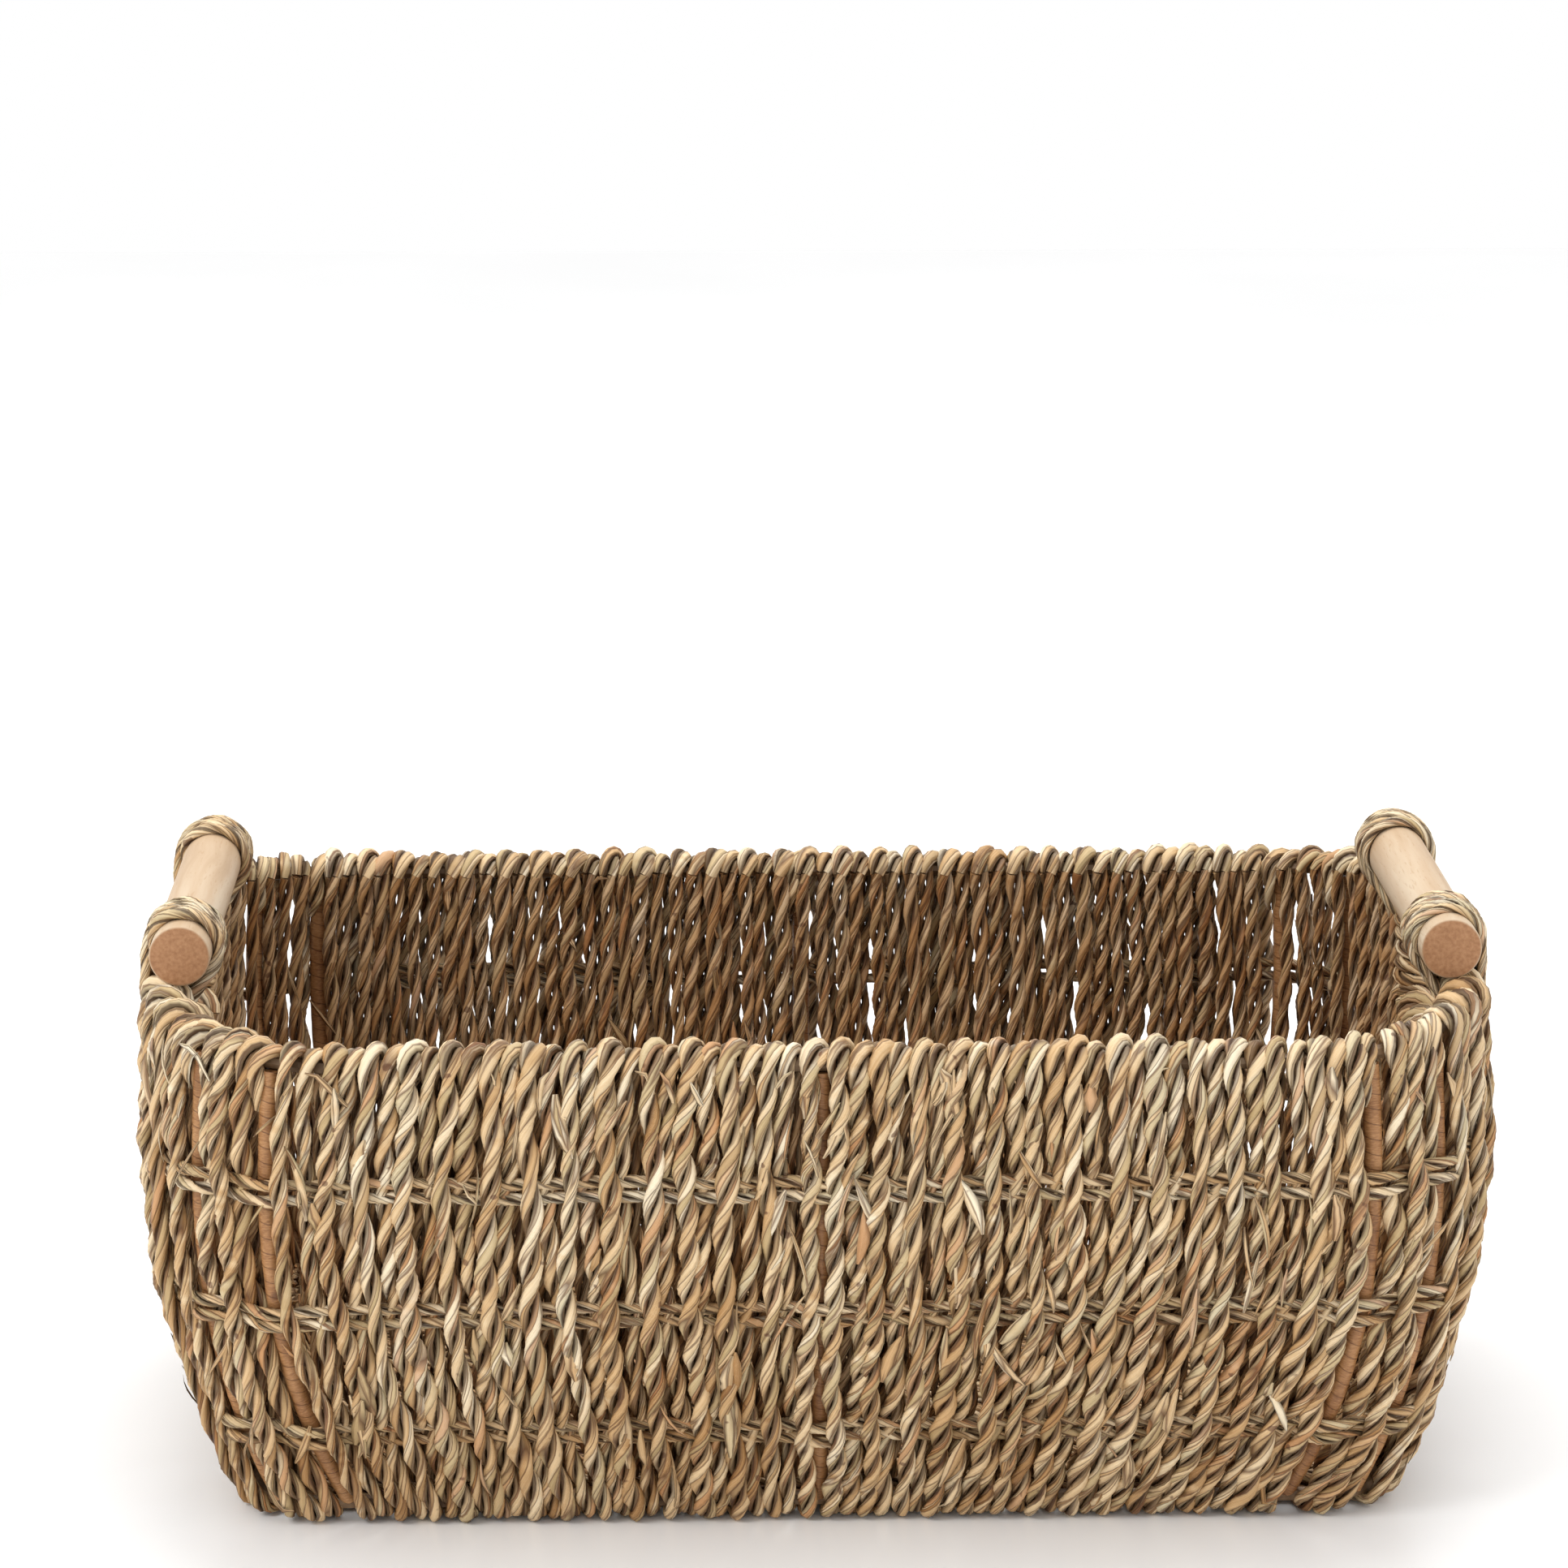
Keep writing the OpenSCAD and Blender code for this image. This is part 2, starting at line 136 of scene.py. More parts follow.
def addNode(tree, kind, inputs=None, **settings):
    node = tree.nodes.new(kind)
    for name, value in settings.items():
        setattr(node, name, value)
    for key, value in (inputs or {}).items():
        if isinstance(value, bpy.types.NodeSocket):
            tree.links.new(value, node.inputs[key])
        else:
            node.inputs[key].default_value = value
    return node


def calc(tree, operation, *values):
    return addNode(tree, "ShaderNodeMath", dict(enumerate(values)), operation=operation).outputs[0]


def vec(tree, operation, *values):
    keys = (0, "Scale") if operation == "SCALE" else (0, 1)
    node = addNode(tree, "ShaderNodeVectorMath", dict(zip(keys, values)), operation=operation)
    return node.outputs["Vector"]


def parted(tree, vector):
    return addNode(tree, "ShaderNodeSeparateXYZ", {0: vector}).outputs


def combined(tree, x, y, z):
    return addNode(tree, "ShaderNodeCombineXYZ", {0: x, 1: y, 2: z}).outputs[0]


def noiseAt(tree, vector, scale=1.0, detail=2.0):
    inputs = {"Vector": vector, "Scale": scale, "Detail": detail}
    return addNode(tree, "ShaderNodeTexNoise", inputs).outputs[0]


# Moves a value up and down with a noise: by the amount times the noise's distance from its middle
def varied(tree, noise, amount, value):
    return calc(tree, "MULTIPLY_ADD", calc(tree, "SUBTRACT", noise, 0.5), amount, value)


def treeInputs(tree, sockets):
    for name, kind, value in sockets:
        socket = tree.interface.new_socket(name, in_out="INPUT", socket_type="NodeSocket" + kind)
        if value is not None:
            socket.default_value = value
    return addNode(tree, "NodeGroupInput").outputs


def stored(tree, name, vector=False):
    kind = "FLOAT_VECTOR" if vector else "FLOAT"
    node = addNode(tree, "GeometryNodeInputNamedAttribute", {"Name": name}, data_type=kind)
    return next(o for o in node.outputs if o.enabled)


def store(tree, geometry, name, value, vector=False):
    kind = "FLOAT_VECTOR" if vector else "FLOAT"
    node = addNode(tree, "GeometryNodeStoreNamedAttribute", {"Geometry": geometry, "Name": name},
                   data_type=kind, domain="POINT")
    tree.links.new(value, next(i for i in node.inputs if i.name == "Value" and i.enabled))
    return node.outputs[0]


def moved(tree, geometry, spot):
    inputs = {"Geometry": geometry, "Position": spot}
    return addNode(tree, "GeometryNodeSetPosition", inputs).outputs[0]


# ---- Geometry Nodes: a twisted cord along each line of points ----
# The points carry facing, girth (width and thickness), turn, tone and run.

plyNoise = {"alongCord": 130.0, "betweenCords": 57.0, "betweenPlies": 3.7, "rollScale": 0.6,
            "toneStep": 0.37}


def buildCordTree(plies):
    tree = bpy.data.node_groups.new("twistedCord" + str(plies), "GeometryNodeTree")
    given = treeInputs(tree, [
        ("Lines", "Geometry", None), ("Ring step", "Float", 0.0018), ("Sides", "Int", 12),
        ("Ply thickness", "Float", 0.29), ("Ply reach", "Float", 0.23),
        ("Ply flatness", "Float", 0.8), ("Fold", "Float", 0.12), ("Unevenness", "Float", 0.25),
        ("Roll", "Float", 0.5), ("Seed", "Int", 1), ("Finish", "Material", None)])
    tree.interface.new_socket("Cords", in_out="OUTPUT", socket_type="NodeSocketGeometry")
    lines = addNode(tree, "GeometryNodeMeshToCurve", {"Mesh": given["Lines"]}).outputs[0]
    lines = addNode(tree, "GeometryNodeResampleCurve", {"Curve": lines, "Length": given["Ring step"]},
                    mode="LENGTH").outputs[0]
    facing = vec(tree, "NORMALIZE", stored(tree, "facing", True))
    tangent = addNode(tree, "GeometryNodeInputTangent").outputs[0]
    side = vec(tree, "NORMALIZE", vec(tree, "CROSS_PRODUCT", tangent, facing))
    girth = parted(tree, stored(tree, "girth", True))
    turn, tone, run = stored(tree, "turn"), stored(tree, "tone"), stored(tree, "run")
    heart = addNode(tree, "GeometryNodeInputPosition").outputs[0]
    circle = addNode(tree, "GeometryNodeCurvePrimitiveCircle",
                     {"Resolution": given["Sides"], "Radius": 1.0}).outputs[0]
    position = addNode(tree, "GeometryNodeInputPosition").outputs[0]
    circle = store(tree, circle, "around", position, True)
    across = parted(tree, position)[0]
    cube = calc(tree, "MULTIPLY", calc(tree, "POWER", across, 3.0), 4.0)
    triple = calc(tree, "SUBTRACT", cube, calc(tree, "MULTIPLY", across, 3.0))
    folded = vec(tree, "SCALE", position, calc(tree, "MULTIPLY_ADD", triple, given["Fold"], 1.0))
    oval = combined(tree, given["Ply flatness"],
                    calc(tree, "SUBTRACT", 2.0, given["Ply flatness"]), 1.0)
    folded = vec(tree, "MULTIPLY", folded, oval)
    circle = moved(tree, circle, folded)
    mean = calc(tree, "MULTIPLY", calc(tree, "ADD", girth["X"], girth["Y"]), 0.5)
    joined = addNode(tree, "GeometryNodeJoinGeometry")
    for ply in range(plies):
        angle = calc(tree, "ADD", turn, ply * 2 * math.pi / plies)
        forward = calc(tree, "MULTIPLY", calc(tree, "COSINE", angle), girth["Y"])
        sideways = calc(tree, "MULTIPLY", calc(tree, "SINE", angle), girth["X"])
        away = vec(tree, "ADD", vec(tree, "SCALE", facing, forward),
                   vec(tree, "SCALE", side, sideways))
        spot = vec(tree, "ADD", heart, vec(tree, "SCALE", away, given["Ply reach"]))
        wave = combined(tree, calc(tree, "MULTIPLY", run, plyNoise["alongCord"]),
                        calc(tree, "MULTIPLY", tone, plyNoise["betweenCords"]),
                        calc(tree, "ADD", given["Seed"], ply * plyNoise["betweenPlies"]))
        noise = noiseAt(tree, wave, 1.0, 1.0)
        rollNoise = noiseAt(tree, wave, plyNoise["rollScale"])
        swell = varied(tree, noise, given["Unevenness"], 1.0)
        thickness = calc(tree, "MULTIPLY", calc(tree, "MULTIPLY", mean, given["Ply thickness"]), swell)
        leaned = calc(tree, "MULTIPLY", calc(tree, "SUBTRACT", rollNoise, 0.5), given["Roll"])
        normal = addNode(tree, "ShaderNodeVectorRotate",
                         {"Vector": away, "Axis": tangent, "Angle": leaned})
        curve = addNode(tree, "GeometryNodeSetCurveNormal",
                        {"Curve": lines, "Normal": normal.outputs[0]}, mode="FREE").outputs[0]
        curve = moved(tree, curve, spot)
        body = addNode(tree, "GeometryNodeCurveToMesh", {
            "Curve": curve, "Profile Curve": circle, "Scale": thickness, "Fill Caps": True}).outputs[0]
        around = parted(tree, stored(tree, "around", True))
        body = store(tree, body, "strand", combined(tree, around[0], around[1], run), True)
        body = store(tree, body, "tone", calc(tree, "ADD", tone, ply * plyNoise["toneStep"]))
        tree.links.new(body, joined.inputs[0])
    whole = addNode(tree, "GeometryNodeSetShadeSmooth", {"Geometry": joined.outputs[0]}).outputs[0]
    whole = addNode(tree, "GeometryNodeRealizeInstances", {"Geometry": whole}).outputs[0]
    whole = addNode(tree, "GeometryNodeSetMaterial",
                    {"Geometry": whole, "Material": given["Finish"]}).outputs[0]
    addNode(tree, "NodeGroupOutput", {0: whole})
    return tree


cordTree = buildCordTree(2)
plainTree = buildCordTree(1)


# A cord's points are (position, facing, width, thickness); twist is its turns in a metre
def addTwist(points, twist, start, tone):
    run, turn, line, last = 0.0, start, [], None
    for position, facing, width, thickness in points:
        if last is not None:
            step = (position - last).length
            run += step
            turn += step * twist * 2 * math.pi
        last = position
        line.append((position, facing, (width, thickness, 0), turn, tone, run + tone * 3))
    return line


def makeCords(name, lines, tree, settings, finish, nodes):
    verts, edges, marks = [], [], {"facing": [], "girth": [], "turn": [], "tone": [], "run": []}
    for line in lines:
        edges += [(len(verts) + i, len(verts) + i + 1) for i in range(len(line) - 1)]
        for position, facing, girth, turn, tone, run in line:
            verts.append(position)
            for key, value in zip(marks, (facing, girth, turn, tone, run)):
                marks[key].append(value)
    mesh = bpy.data.meshes.new(name + "Lines")
    mesh.from_pydata(verts, edges, [])
    for key, values in marks.items():
        vector = key in ("facing", "girth")
        attribute = mesh.attributes.new(key, "FLOAT_VECTOR" if vector else "FLOAT", "POINT")
        if vector:
            attribute.data.foreach_set("vector", [c for value in values for c in value])
        else:
            attribute.data.foreach_set("value", values)
    piece = bpy.data.objects.new(name, mesh)
    bpy.context.scene.collection.objects.link(piece)
    modifier = piece.modifiers.new("cords", "NODES")
    modifier.node_group = tree
    values = dict(settings, Finish=finish)
    for item in tree.interface.items_tree:
        if item.in_out == "INPUT" and item.name in values:
            modifier[item.identifier] = values[item.name]
    settle(piece, nodes)


# The evaluated shape becomes a plain mesh, with only the marks that its material reads
def settle(piece, nodes):
    bpy.context.view_layer.update()
    shown = piece.evaluated_get(bpy.context.evaluated_depsgraph_get())
    mesh = bpy.data.meshes.new_from_object(shown)
    piece.modifiers.clear()
    old = piece.data
    piece.data = mesh
    bpy.data.meshes.remove(old)
    mesh.name = piece.name
    for key in ("facing", "girth", "turn", "run", "around"):
        if key in mesh.attributes:
            mesh.attributes.remove(mesh.attributes[key])
    mesh.calc_loop_triangles()
    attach(piece, "root")
    if nodes:
        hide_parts(*nodes)
    print("basket:", piece.name, len(mesh.loop_triangles), "triangles")


# ---- Materials ----

def linear(c):
    return c / 12.92 if c <= 0.04045 else ((c + 0.055) / 1.055) ** 2.4


def linearColour(colour):
    return (*[linear(c / 255) for c in colour], 1)


def colourRamp(tree, value, stops):
    ramp = addNode(tree, "ShaderNodeValToRGB", {0: value})
    bar = ramp.color_ramp
    while len(bar.elements) < len(stops):
        bar.elements.new(0.5)
    for element, (place, colour) in zip(bar.elements, stops):
        element.position = place
        element.color = linearColour(colour)
    return ramp.outputs[0]


def ranged(tree, value, low, high, toLow=0.0, toHigh=1.0):
    inputs = {0: value, 1: low, 2: high, 3: toLow, 4: toHigh}
    return addNode(tree, "ShaderNodeMapRange", inputs).outputs[0]


def mixed(tree, factor, a, b):
    return addNode(tree, "ShaderNodeMix", {0: factor, 6: a, 7: b}, data_type="RGBA").outputs[2]


# A tint laid over a colour where a mask says, by a share
def tinted(tree, colour, mask, share, tint):
    return mixed(tree, calc(tree, "MULTIPLY", mask, share), colour, linearColour(tint))


def inverse(tree, mask):
    return calc(tree, "SUBTRACT", 1.0, mask)


grassLook = {
    "bladeLength": 26.0,          # blade cells in a metre along the strand
    "veins": (7.0, 50.0),         # across the strand, and in a metre along it
    "patchScale": 28.0, "fleckScale": 210.0,
    "base": 0.61,
    "cordSpread": 0.36, "bladeSpread": 0.4, "veinSpread": 0.45, "patchSpread": 0.5,
    # painted shade and light: cords are painted darker low down and lighter near the rim, standing in
    # for how the light falls on the basket
    "heights": (0.02, 0.17), "paintedLightSpread": 0.09,   # cords are darker low down, lighter near the rim
}


# Dry grass blades laid along a strand: blades with their own tone and fine veins, with painted shade in
# the creases between blades and in the groove where the two plies meet
def buildBladeGroup():
    tree = bpy.data.node_groups.new("grassBlades", "ShaderNodeTree")
    given = treeInputs(tree, [
        ("Strand", "Vector", None), ("Tone", "Float", 0.5), ("Spot", "Vector", None),
        ("Blades", "Float", 1.1), ("Brightness", "Float", 1.0), ("Warmth", "Float", 0.0)])
    for name, kind in (("Colour", "Color"), ("Roughness", "Float"), ("Height", "Float")):
        tree.interface.new_socket(name, in_out="OUTPUT", socket_type="NodeSocket" + kind)
    part = parted(tree, given["Strand"])
    shift = calc(tree, "MULTIPLY", given["Tone"], 37.0)
    around = vec(tree, "SCALE", given["Strand"], given["Blades"])
    aroundPart = parted(tree, around)
    cells = combined(tree, aroundPart[0], aroundPart[1],
                     calc(tree, "MULTIPLY_ADD", part[2], grassLook["bladeLength"], shift))
    blade = addNode(tree, "ShaderNodeTexVoronoi", {"Vector": cells, "Scale": 1.0})
    edge = addNode(tree, "ShaderNodeTexVoronoi", {"Vector": cells, "Scale": 1.0},
                   feature="DISTANCE_TO_EDGE").outputs["Distance"]
    creaseShade = ranged(tree, edge, 0.0, 0.1)
    rounded = ranged(tree, edge, 0.0, 0.3)
    grooveShade = ranged(tree, part[0], -0.45, 0.25)
    chance = addNode(tree, "ShaderNodeSeparateColor", {0: blade.outputs["Color"]}).outputs
    fineAcross, fineAlong = grassLook["veins"]
    fine = combined(tree, calc(tree, "MULTIPLY", part[0], fineAcross),
                    calc(tree, "MULTIPLY", part[1], fineAcross),
                    calc(tree, "MULTIPLY_ADD", part[2], fineAlong, shift))
    veins = noiseAt(tree, fine, 1.0, 3.0)
    patch = noiseAt(tree, given["Spot"], grassLook["patchScale"])
    toneNoise = addNode(tree, "ShaderNodeTexWhiteNoise", {"W": given["Tone"]},
                        noise_dimensions="1D").outputs["Value"]
    value = varied(tree, toneNoise, grassLook["cordSpread"], grassLook["base"])
    value = varied(tree, chance[0], grassLook["bladeSpread"], value)
    value = varied(tree, veins, grassLook["veinSpread"], value)
    value = varied(tree, patch, grassLook["patchSpread"], value)
    value = calc(tree, "ADD", value, calc(tree, "SUBTRACT", given["Brightness"], 1.0))
    # painted shade low down and painted highlight near the rim, by height in the object
    spread = grassLook["paintedLightSpread"]
    rise = parted(tree, given["Spot"])["Z"]
    value = calc(tree, "ADD", value, ranged(tree, rise, *grassLook["heights"], -spread, spread))
    straw = colourRamp(tree, value, [
        (0.0, (118, 74, 36)), (0.25, (168, 125, 76)), (0.5, (206, 169, 121)),
        (0.75, (230, 203, 161)), (1.0, (247, 233, 204))])
    straw = tinted(tree, straw, ranged(tree, chance[1], 0.87, 0.92), 0.55, (184, 122, 74))    # rust
    straw = tinted(tree, straw, ranged(tree, chance[2], 0.74, 0.82), 0.45, (176, 164, 122))   # green
    straw = mixed(tree, given["Warmth"], straw, linearColour((178, 120, 74)))
    flecks = noiseAt(tree, given["Spot"], grassLook["fleckScale"], 1.0)
    straw = tinted(tree, straw, ranged(tree, flecks, 0.72, 0.76), 0.7, (96, 58, 40))
    # painted shade in the creases between blades, and deeper painted shade on the side of each ply that
    # faces the other ply
    straw = tinted(tree, straw, inverse(tree, creaseShade), 0.8, (82, 43, 18))
    straw = tinted(tree, straw, inverse(tree, grooveShade), 0.75, (56, 28, 10))
    height = calc(tree, "MULTIPLY_ADD", rounded, 0.8, calc(tree, "MULTIPLY", veins, 0.2))
    rough = ranged(tree, veins, 0.3, 0.7, 0.42, 0.6)
    addNode(tree, "NodeGroupOutput", {0: straw, 1: rough, 2: height})
    return tree


bladeGroup = buildBladeGroup()


def newMaterial(name):
    material = bpy.data.materials.new(name)
    material.use_nodes = True
    tree = material.node_tree
    tree.nodes.clear()
    shader = tree.nodes.new("ShaderNodeBsdfPrincipled")
    addNode(tree, "ShaderNodeOutputMaterial", {0: shader.outputs[0]})
    return material, tree, shader


def bumped(tree, shader, height, distance):
    bump = addNode(tree, "ShaderNodeBump", {"Height": height, "Distance": distance})
    tree.links.new(bump.outputs[0], shader.inputs["Normal"])


def attributeOf(tree, name):
    return addNode(tree, "ShaderNodeAttribute", attribute_name=name)


def objectSpot(tree):
    return addNode(tree, "ShaderNodeTexCoord").outputs["Object"]


def grassMaterial(name, blades, brightness, warmth, bump=0.0006):
    material, tree, shader = newMaterial(name)
    group = addNode(tree, "ShaderNodeGroup", node_tree=bladeGroup)
    tree.links.new(attributeOf(tree, "strand").outputs["Vector"], group.inputs["Strand"])
    tree.links.new(attributeOf(tree, "tone").outputs["Fac"], group.inputs["Tone"])
    tree.links.new(objectSpot(tree), group.inputs["Spot"])
    for key, value in (("Blades", blades), ("Brightness", brightness), ("Warmth", warmth)):
        group.inputs[key].default_value = value
    tree.links.new(group.outputs["Colour"], shader.inputs["Base Color"])
    tree.links.new(group.outputs["Roughness"], shader.inputs["Roughness"])
    shader.inputs["Specular IOR Level"].default_value = 0.3
    bumped(tree, shader, group.outputs["Height"], bump)
    return material


grassOuter = grassMaterial("seagrassOuter", 0.78, 1.0, 0.03)
# painted shade: this copy, for the inside walls, the underside of the floor and the inner loose blades,
# is painted darker and warmer than the outer cords
grassInnerShaded = grassMaterial("seagrassInnerShaded", 0.78, 0.86, 0.3)
grassFloor = grassMaterial("seagrassFloor", 0.78, 0.96, 0.12)
grassLashing = grassMaterial("lashingCord", 0.78, 1.04, 0.02)
grassLoose = grassMaterial("looseBlades", 0.4, 1.05, 0.04)
grassHoop = grassMaterial("hoopStrand", 0.8, 1.04, 0.05)


tapeLook = {"windings": 210.0, "fibres": (1.6, 2400.0), "patchScale": 60.0, "knotScale": 95.0}


def tapeMaterial():
    material, tree, shader = newMaterial("ribTape")
    spot = objectSpot(tree)
    part = parted(tree, attributeOf(tree, "strand").outputs["Vector"])
    angle = calc(tree, "DIVIDE", calc(tree, "ARCTAN2", part[1], part[0]), 2 * math.pi)
    wrap = calc(tree, "FRACT", calc(tree, "MULTIPLY_ADD", part[2], tapeLook["windings"], angle))
    seam = ranged(tree, wrap, 0.0, 0.1)
    fineAcross, fineAlong = tapeLook["fibres"]
    fine = combined(tree, calc(tree, "MULTIPLY", part[0], fineAcross),
                    calc(tree, "MULTIPLY", part[1], fineAcross),
                    calc(tree, "MULTIPLY", part[2], fineAlong))
    fibres = noiseAt(tree, fine, 1.0, 3.0)
    patch = noiseAt(tree, spot, tapeLook["patchScale"], 3.0)
    value = calc(tree, "MULTIPLY_ADD", fibres, 0.5, calc(tree, "MULTIPLY", patch, 0.6))
    colour = colourRamp(tree, value, [
        (0.25, (92, 56, 30)), (0.45, (140, 94, 54)), (0.62, (172, 124, 78)), (0.85, (204, 160, 112))])
    colour = tinted(tree, colour, inverse(tree, seam), 0.8, (80, 44, 22))
    knots = ranged(tree, noiseAt(tree, spot, tapeLook["knotScale"]), 0.66, 0.74)
    colour = tinted(tree, colour, knots, 0.6, (86, 52, 36))
    tree.links.new(colour, shader.inputs["Base Color"])
    shader.inputs["Roughness"].default_value = 0.5
    bumped(tree, shader, calc(tree, "MULTIPLY_ADD", seam, 0.6, fibres), 0.0002)
    return material


ribTape = tapeMaterial()


# Grain and dashes are stretched along the dowel, which lies along Y
woodLook = {"wander": 22.0, "grain": (150.0, 9.0), "dashes": (1500.0, 150.0), "pores": 900.0}


def stretched(tree, part, scales, shift=0.0):
    across, along = scales
    return combined(tree, calc(tree, "MULTIPLY_ADD", part[0], across, shift),
                    calc(tree, "MULTIPLY", part[1], along), calc(tree, "MULTIPLY", part[2], across))


def woodMaterial():
    material, tree, shader = newMaterial("dowelWood")
    spot = objectSpot(tree)
    part = parted(tree, spot)
    wander = noiseAt(tree, spot, woodLook["wander"])
    bent = stretched(tree, part, woodLook["grain"], calc(tree, "MULTIPLY", wander, 1.5))
    grain = noiseAt(tree, bent, 1.0, 4.0)
    colour = colourRamp(tree, grain, [
        (0.28, (180, 150, 117)), (0.45, (194, 167, 136)),
        (0.6, (202, 180, 152)), (0.8, (211, 194, 169))])
    dashes = noiseAt(tree, stretched(tree, part, woodLook["dashes"]), 1.0, 1.0)
    dash = calc(tree, "MULTIPLY", ranged(tree, dashes, 0.64, 0.72), 0.28)
    colour = mixed(tree, dash, colour, linearColour((168, 124, 80)))
    end = attributeOf(tree, "endGrain").outputs["Fac"]
    pores = colourRamp(tree, noiseAt(tree, spot, woodLook["pores"], 3.0), [
        (0.3, (152, 108, 74)), (0.5, (166, 121, 85)), (0.75, (178, 134, 97))])
    colour = mixed(tree, end, colour, pores)
    tree.links.new(colour, shader.inputs["Base Color"])
    shader.inputs["Roughness"].default_value = 0.55
    shader.inputs["Specular IOR Level"].default_value = 0.3
    bumped(tree, shader, calc(tree, "SUBTRACT", grain, dash), 0.00012)
    return material


def wireMaterial():
    # painted shade: the wire is coloured dark brown so that where it shows between the cords it reads
    # as shadow
    material, tree, shader = newMaterial("frameWireShadeDark")
    haze = noiseAt(tree, objectSpot(tree), 160.0, 4.0)
    colour = colourRamp(tree, haze, [
        (0.3, (88, 64, 42)), (0.6, (124, 98, 70)), (0.8, (142, 118, 90))])
    tree.links.new(colour, shader.inputs["Base Color"])
    tree.links.new(ranged(tree, haze, 0.3, 0.7, 0.6, 0.35), shader.inputs["Roughness"])
    shader.inputs["Metallic"].default_value = 0.3
    bumped(tree, shader, haze, 0.00005)
    return material


# ---- Wall cords ----

wallCords = {
    "pitch": 0.0060,             # between cords at the rim
    "girth": 0.0066,
    "girthSpread": 0.16,
    "flatness": 0.88,
    "twist": 35.0,               # turns in a metre
    "twistSpread": 0.22,
    "wander": 0.0011,            # how far a cord strays along the wall
    "depth": 0.0008,             # every other cord lies this much further back
    "dip": 0.0034,               # and this much further still behind a hoop
    "hoopReach": 0.008,
    "tuck": 0.006,               # how far it runs in under the floor
    "baseRadius": 0.0036,        # round the base wire, where the basket stands on its cords
    "pressed": 0.72,
    "besideRib": {"long": 0.0064, "corner": 0.0054, "middle": 0.0046, "side": 0.0056},
    "ribShares": {"side": 0.205, "corner": 0.36, "long": 0.443},
    "loopSteps": 8,
    "loopSwell": (0.32, 0.14),   # a loop is this much wider and thicker at its top
    "loopPull": 0.0003,          # and pulled this much nearer to the wire
    "stray": 0.0006, "layerSpread": 0.0003,
    "puff": (0.0005, 0.0004),    # waves in and out, outer and inner layer
    "swell": 0.09,
    "outerSteps": 26, "innerSteps": 12,
    "innerShare": 0.9,           # girth of the inner layer's cords
    "foot": {"end": 0.045, "long": 0.035},   # where the inner cords stop above the floor
    "seed": 41,
}
# A rib's short loop starts and ends in the wall: (rise, share of its full size)
ribLoopEnds = ((0.90, 0.2), (0.93, 0.75), (0.965, 1.0))
middleShare = 0.9999             # a rib in the middle of a long wall
fullTurn = 6.28                  # random phases stop just short of a full turn
outerSettings = {"Ring step": 0.0019, "Sides": 12, "Ply thickness": 0.275, "Ply reach": 0.235,
                 "Ply flatness": 0.9, "Fold": 0.13, "Unevenness": 0.55, "Roll": 1.4, "Seed": 3}
innerSettings = {"Ring step": 0.0025, "Sides": 8, "Ply thickness": 0.27, "Ply reach": 0.235,
                 "Ply flatness": 0.9, "Fold": 0.10, "Unevenness": 0.4, "Roll": 1.0, "Seed": 8}


hoopNames = ("lower", "middle", "upper")
hoopLevels = [(low.z + high.z) / 2 for low, high in (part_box("hoop_" + name) for name in hoopNames)]


# Places of the cords over one quarter, as runs in metres from the end wall's middle
def cordRuns():
    gap, share = wallCords["besideRib"], wallCords["ribShares"]
    side, corner, long = (share[k] * rimQuarter for k in ("side", "corner", "long"))
    sillEnd = legY - 0.0035
    legStart = legY + basketShape["rollRadius"] + 0.0008
    stretches = [
        (gap["middle"], sillEnd), (legStart, side - gap["side"]),
        (side + gap["side"], corner - gap["corner"]), (corner + gap["corner"], long - gap["long"]),
        (long + gap["long"], rimQuarter - gap["middle"])]
    runs = []
    for start, end in stretches:
        count = max(round((end - start) / wallCords["pitch"]), 0)
        if count:
            runs += [start + (end - start) * i / count for i in range(count + 1)]
        else:
            runs.append((start + end) / 2)
    return runs


# Height of the wire that a cord hangs on, at a run from the end wall's middle
def wireTop(run):
    fillet = basketShape["legFillet"]
    if run > legY:
        return None
    into = max(run - (legY - fillet), 0.0)
    return sillZ + fillet - math.sqrt(max(fillet ** 2 - into ** 2, 0.0))


# Over the rim wire, from the outer face to the inner one
def rimLoop(place, slant, topRise, topZ, radius, girth, flat):
    loop, steps = [], wallCords["loopSteps"]
    wider, thicker = wallCords["loopSwell"]
    for i in range(steps + 1):
        angle = math.pi * i / steps
        centre, out = wallSpot(place + slant * i / steps, topRise)
        centre.z = topZ
        ease = math.sin(angle)
        position, facing = roundWire(centre, out, angle, radius - wallCords["loopPull"] * ease)
        loop.append((position, facing, girth * (1 + wider * ease), girth * flat * (1 + thicker * ease)))
    return loop


# A short loop that hides the wire above a rib
def ribLoop(place, rng):
    girth, flat = wallCords["girth"] * rng.uniform(0.9, 1.05), wallCords["flatness"]
    topZ = wallSpot(place, 1)[0].z
    slant = wallCords["pitch"] / 2 / rimQuarter
    radius = basketShape["layerOut"] - 0.0007

    def legPoint(side, rise, off):
        position, facing = wallAt(place - side * slant, rise, side * radius * off)
        return (position, facing * side, girth * (0.5 + off * 0.5), girth * flat * (0.4 + off * 0.6))

    points = [legPoint(1, rise, off) for rise, off in ribLoopEnds]
    points += rimLoop(place - slant, 2 * slant, 1, topZ, radius, girth, flat)
    points += [legPoint(-1, rise, off) for rise, off in reversed(ribLoopEnds)]
    return addTwist(points, wallCords["twist"], rng.uniform(0, fullTurn), rng.random())


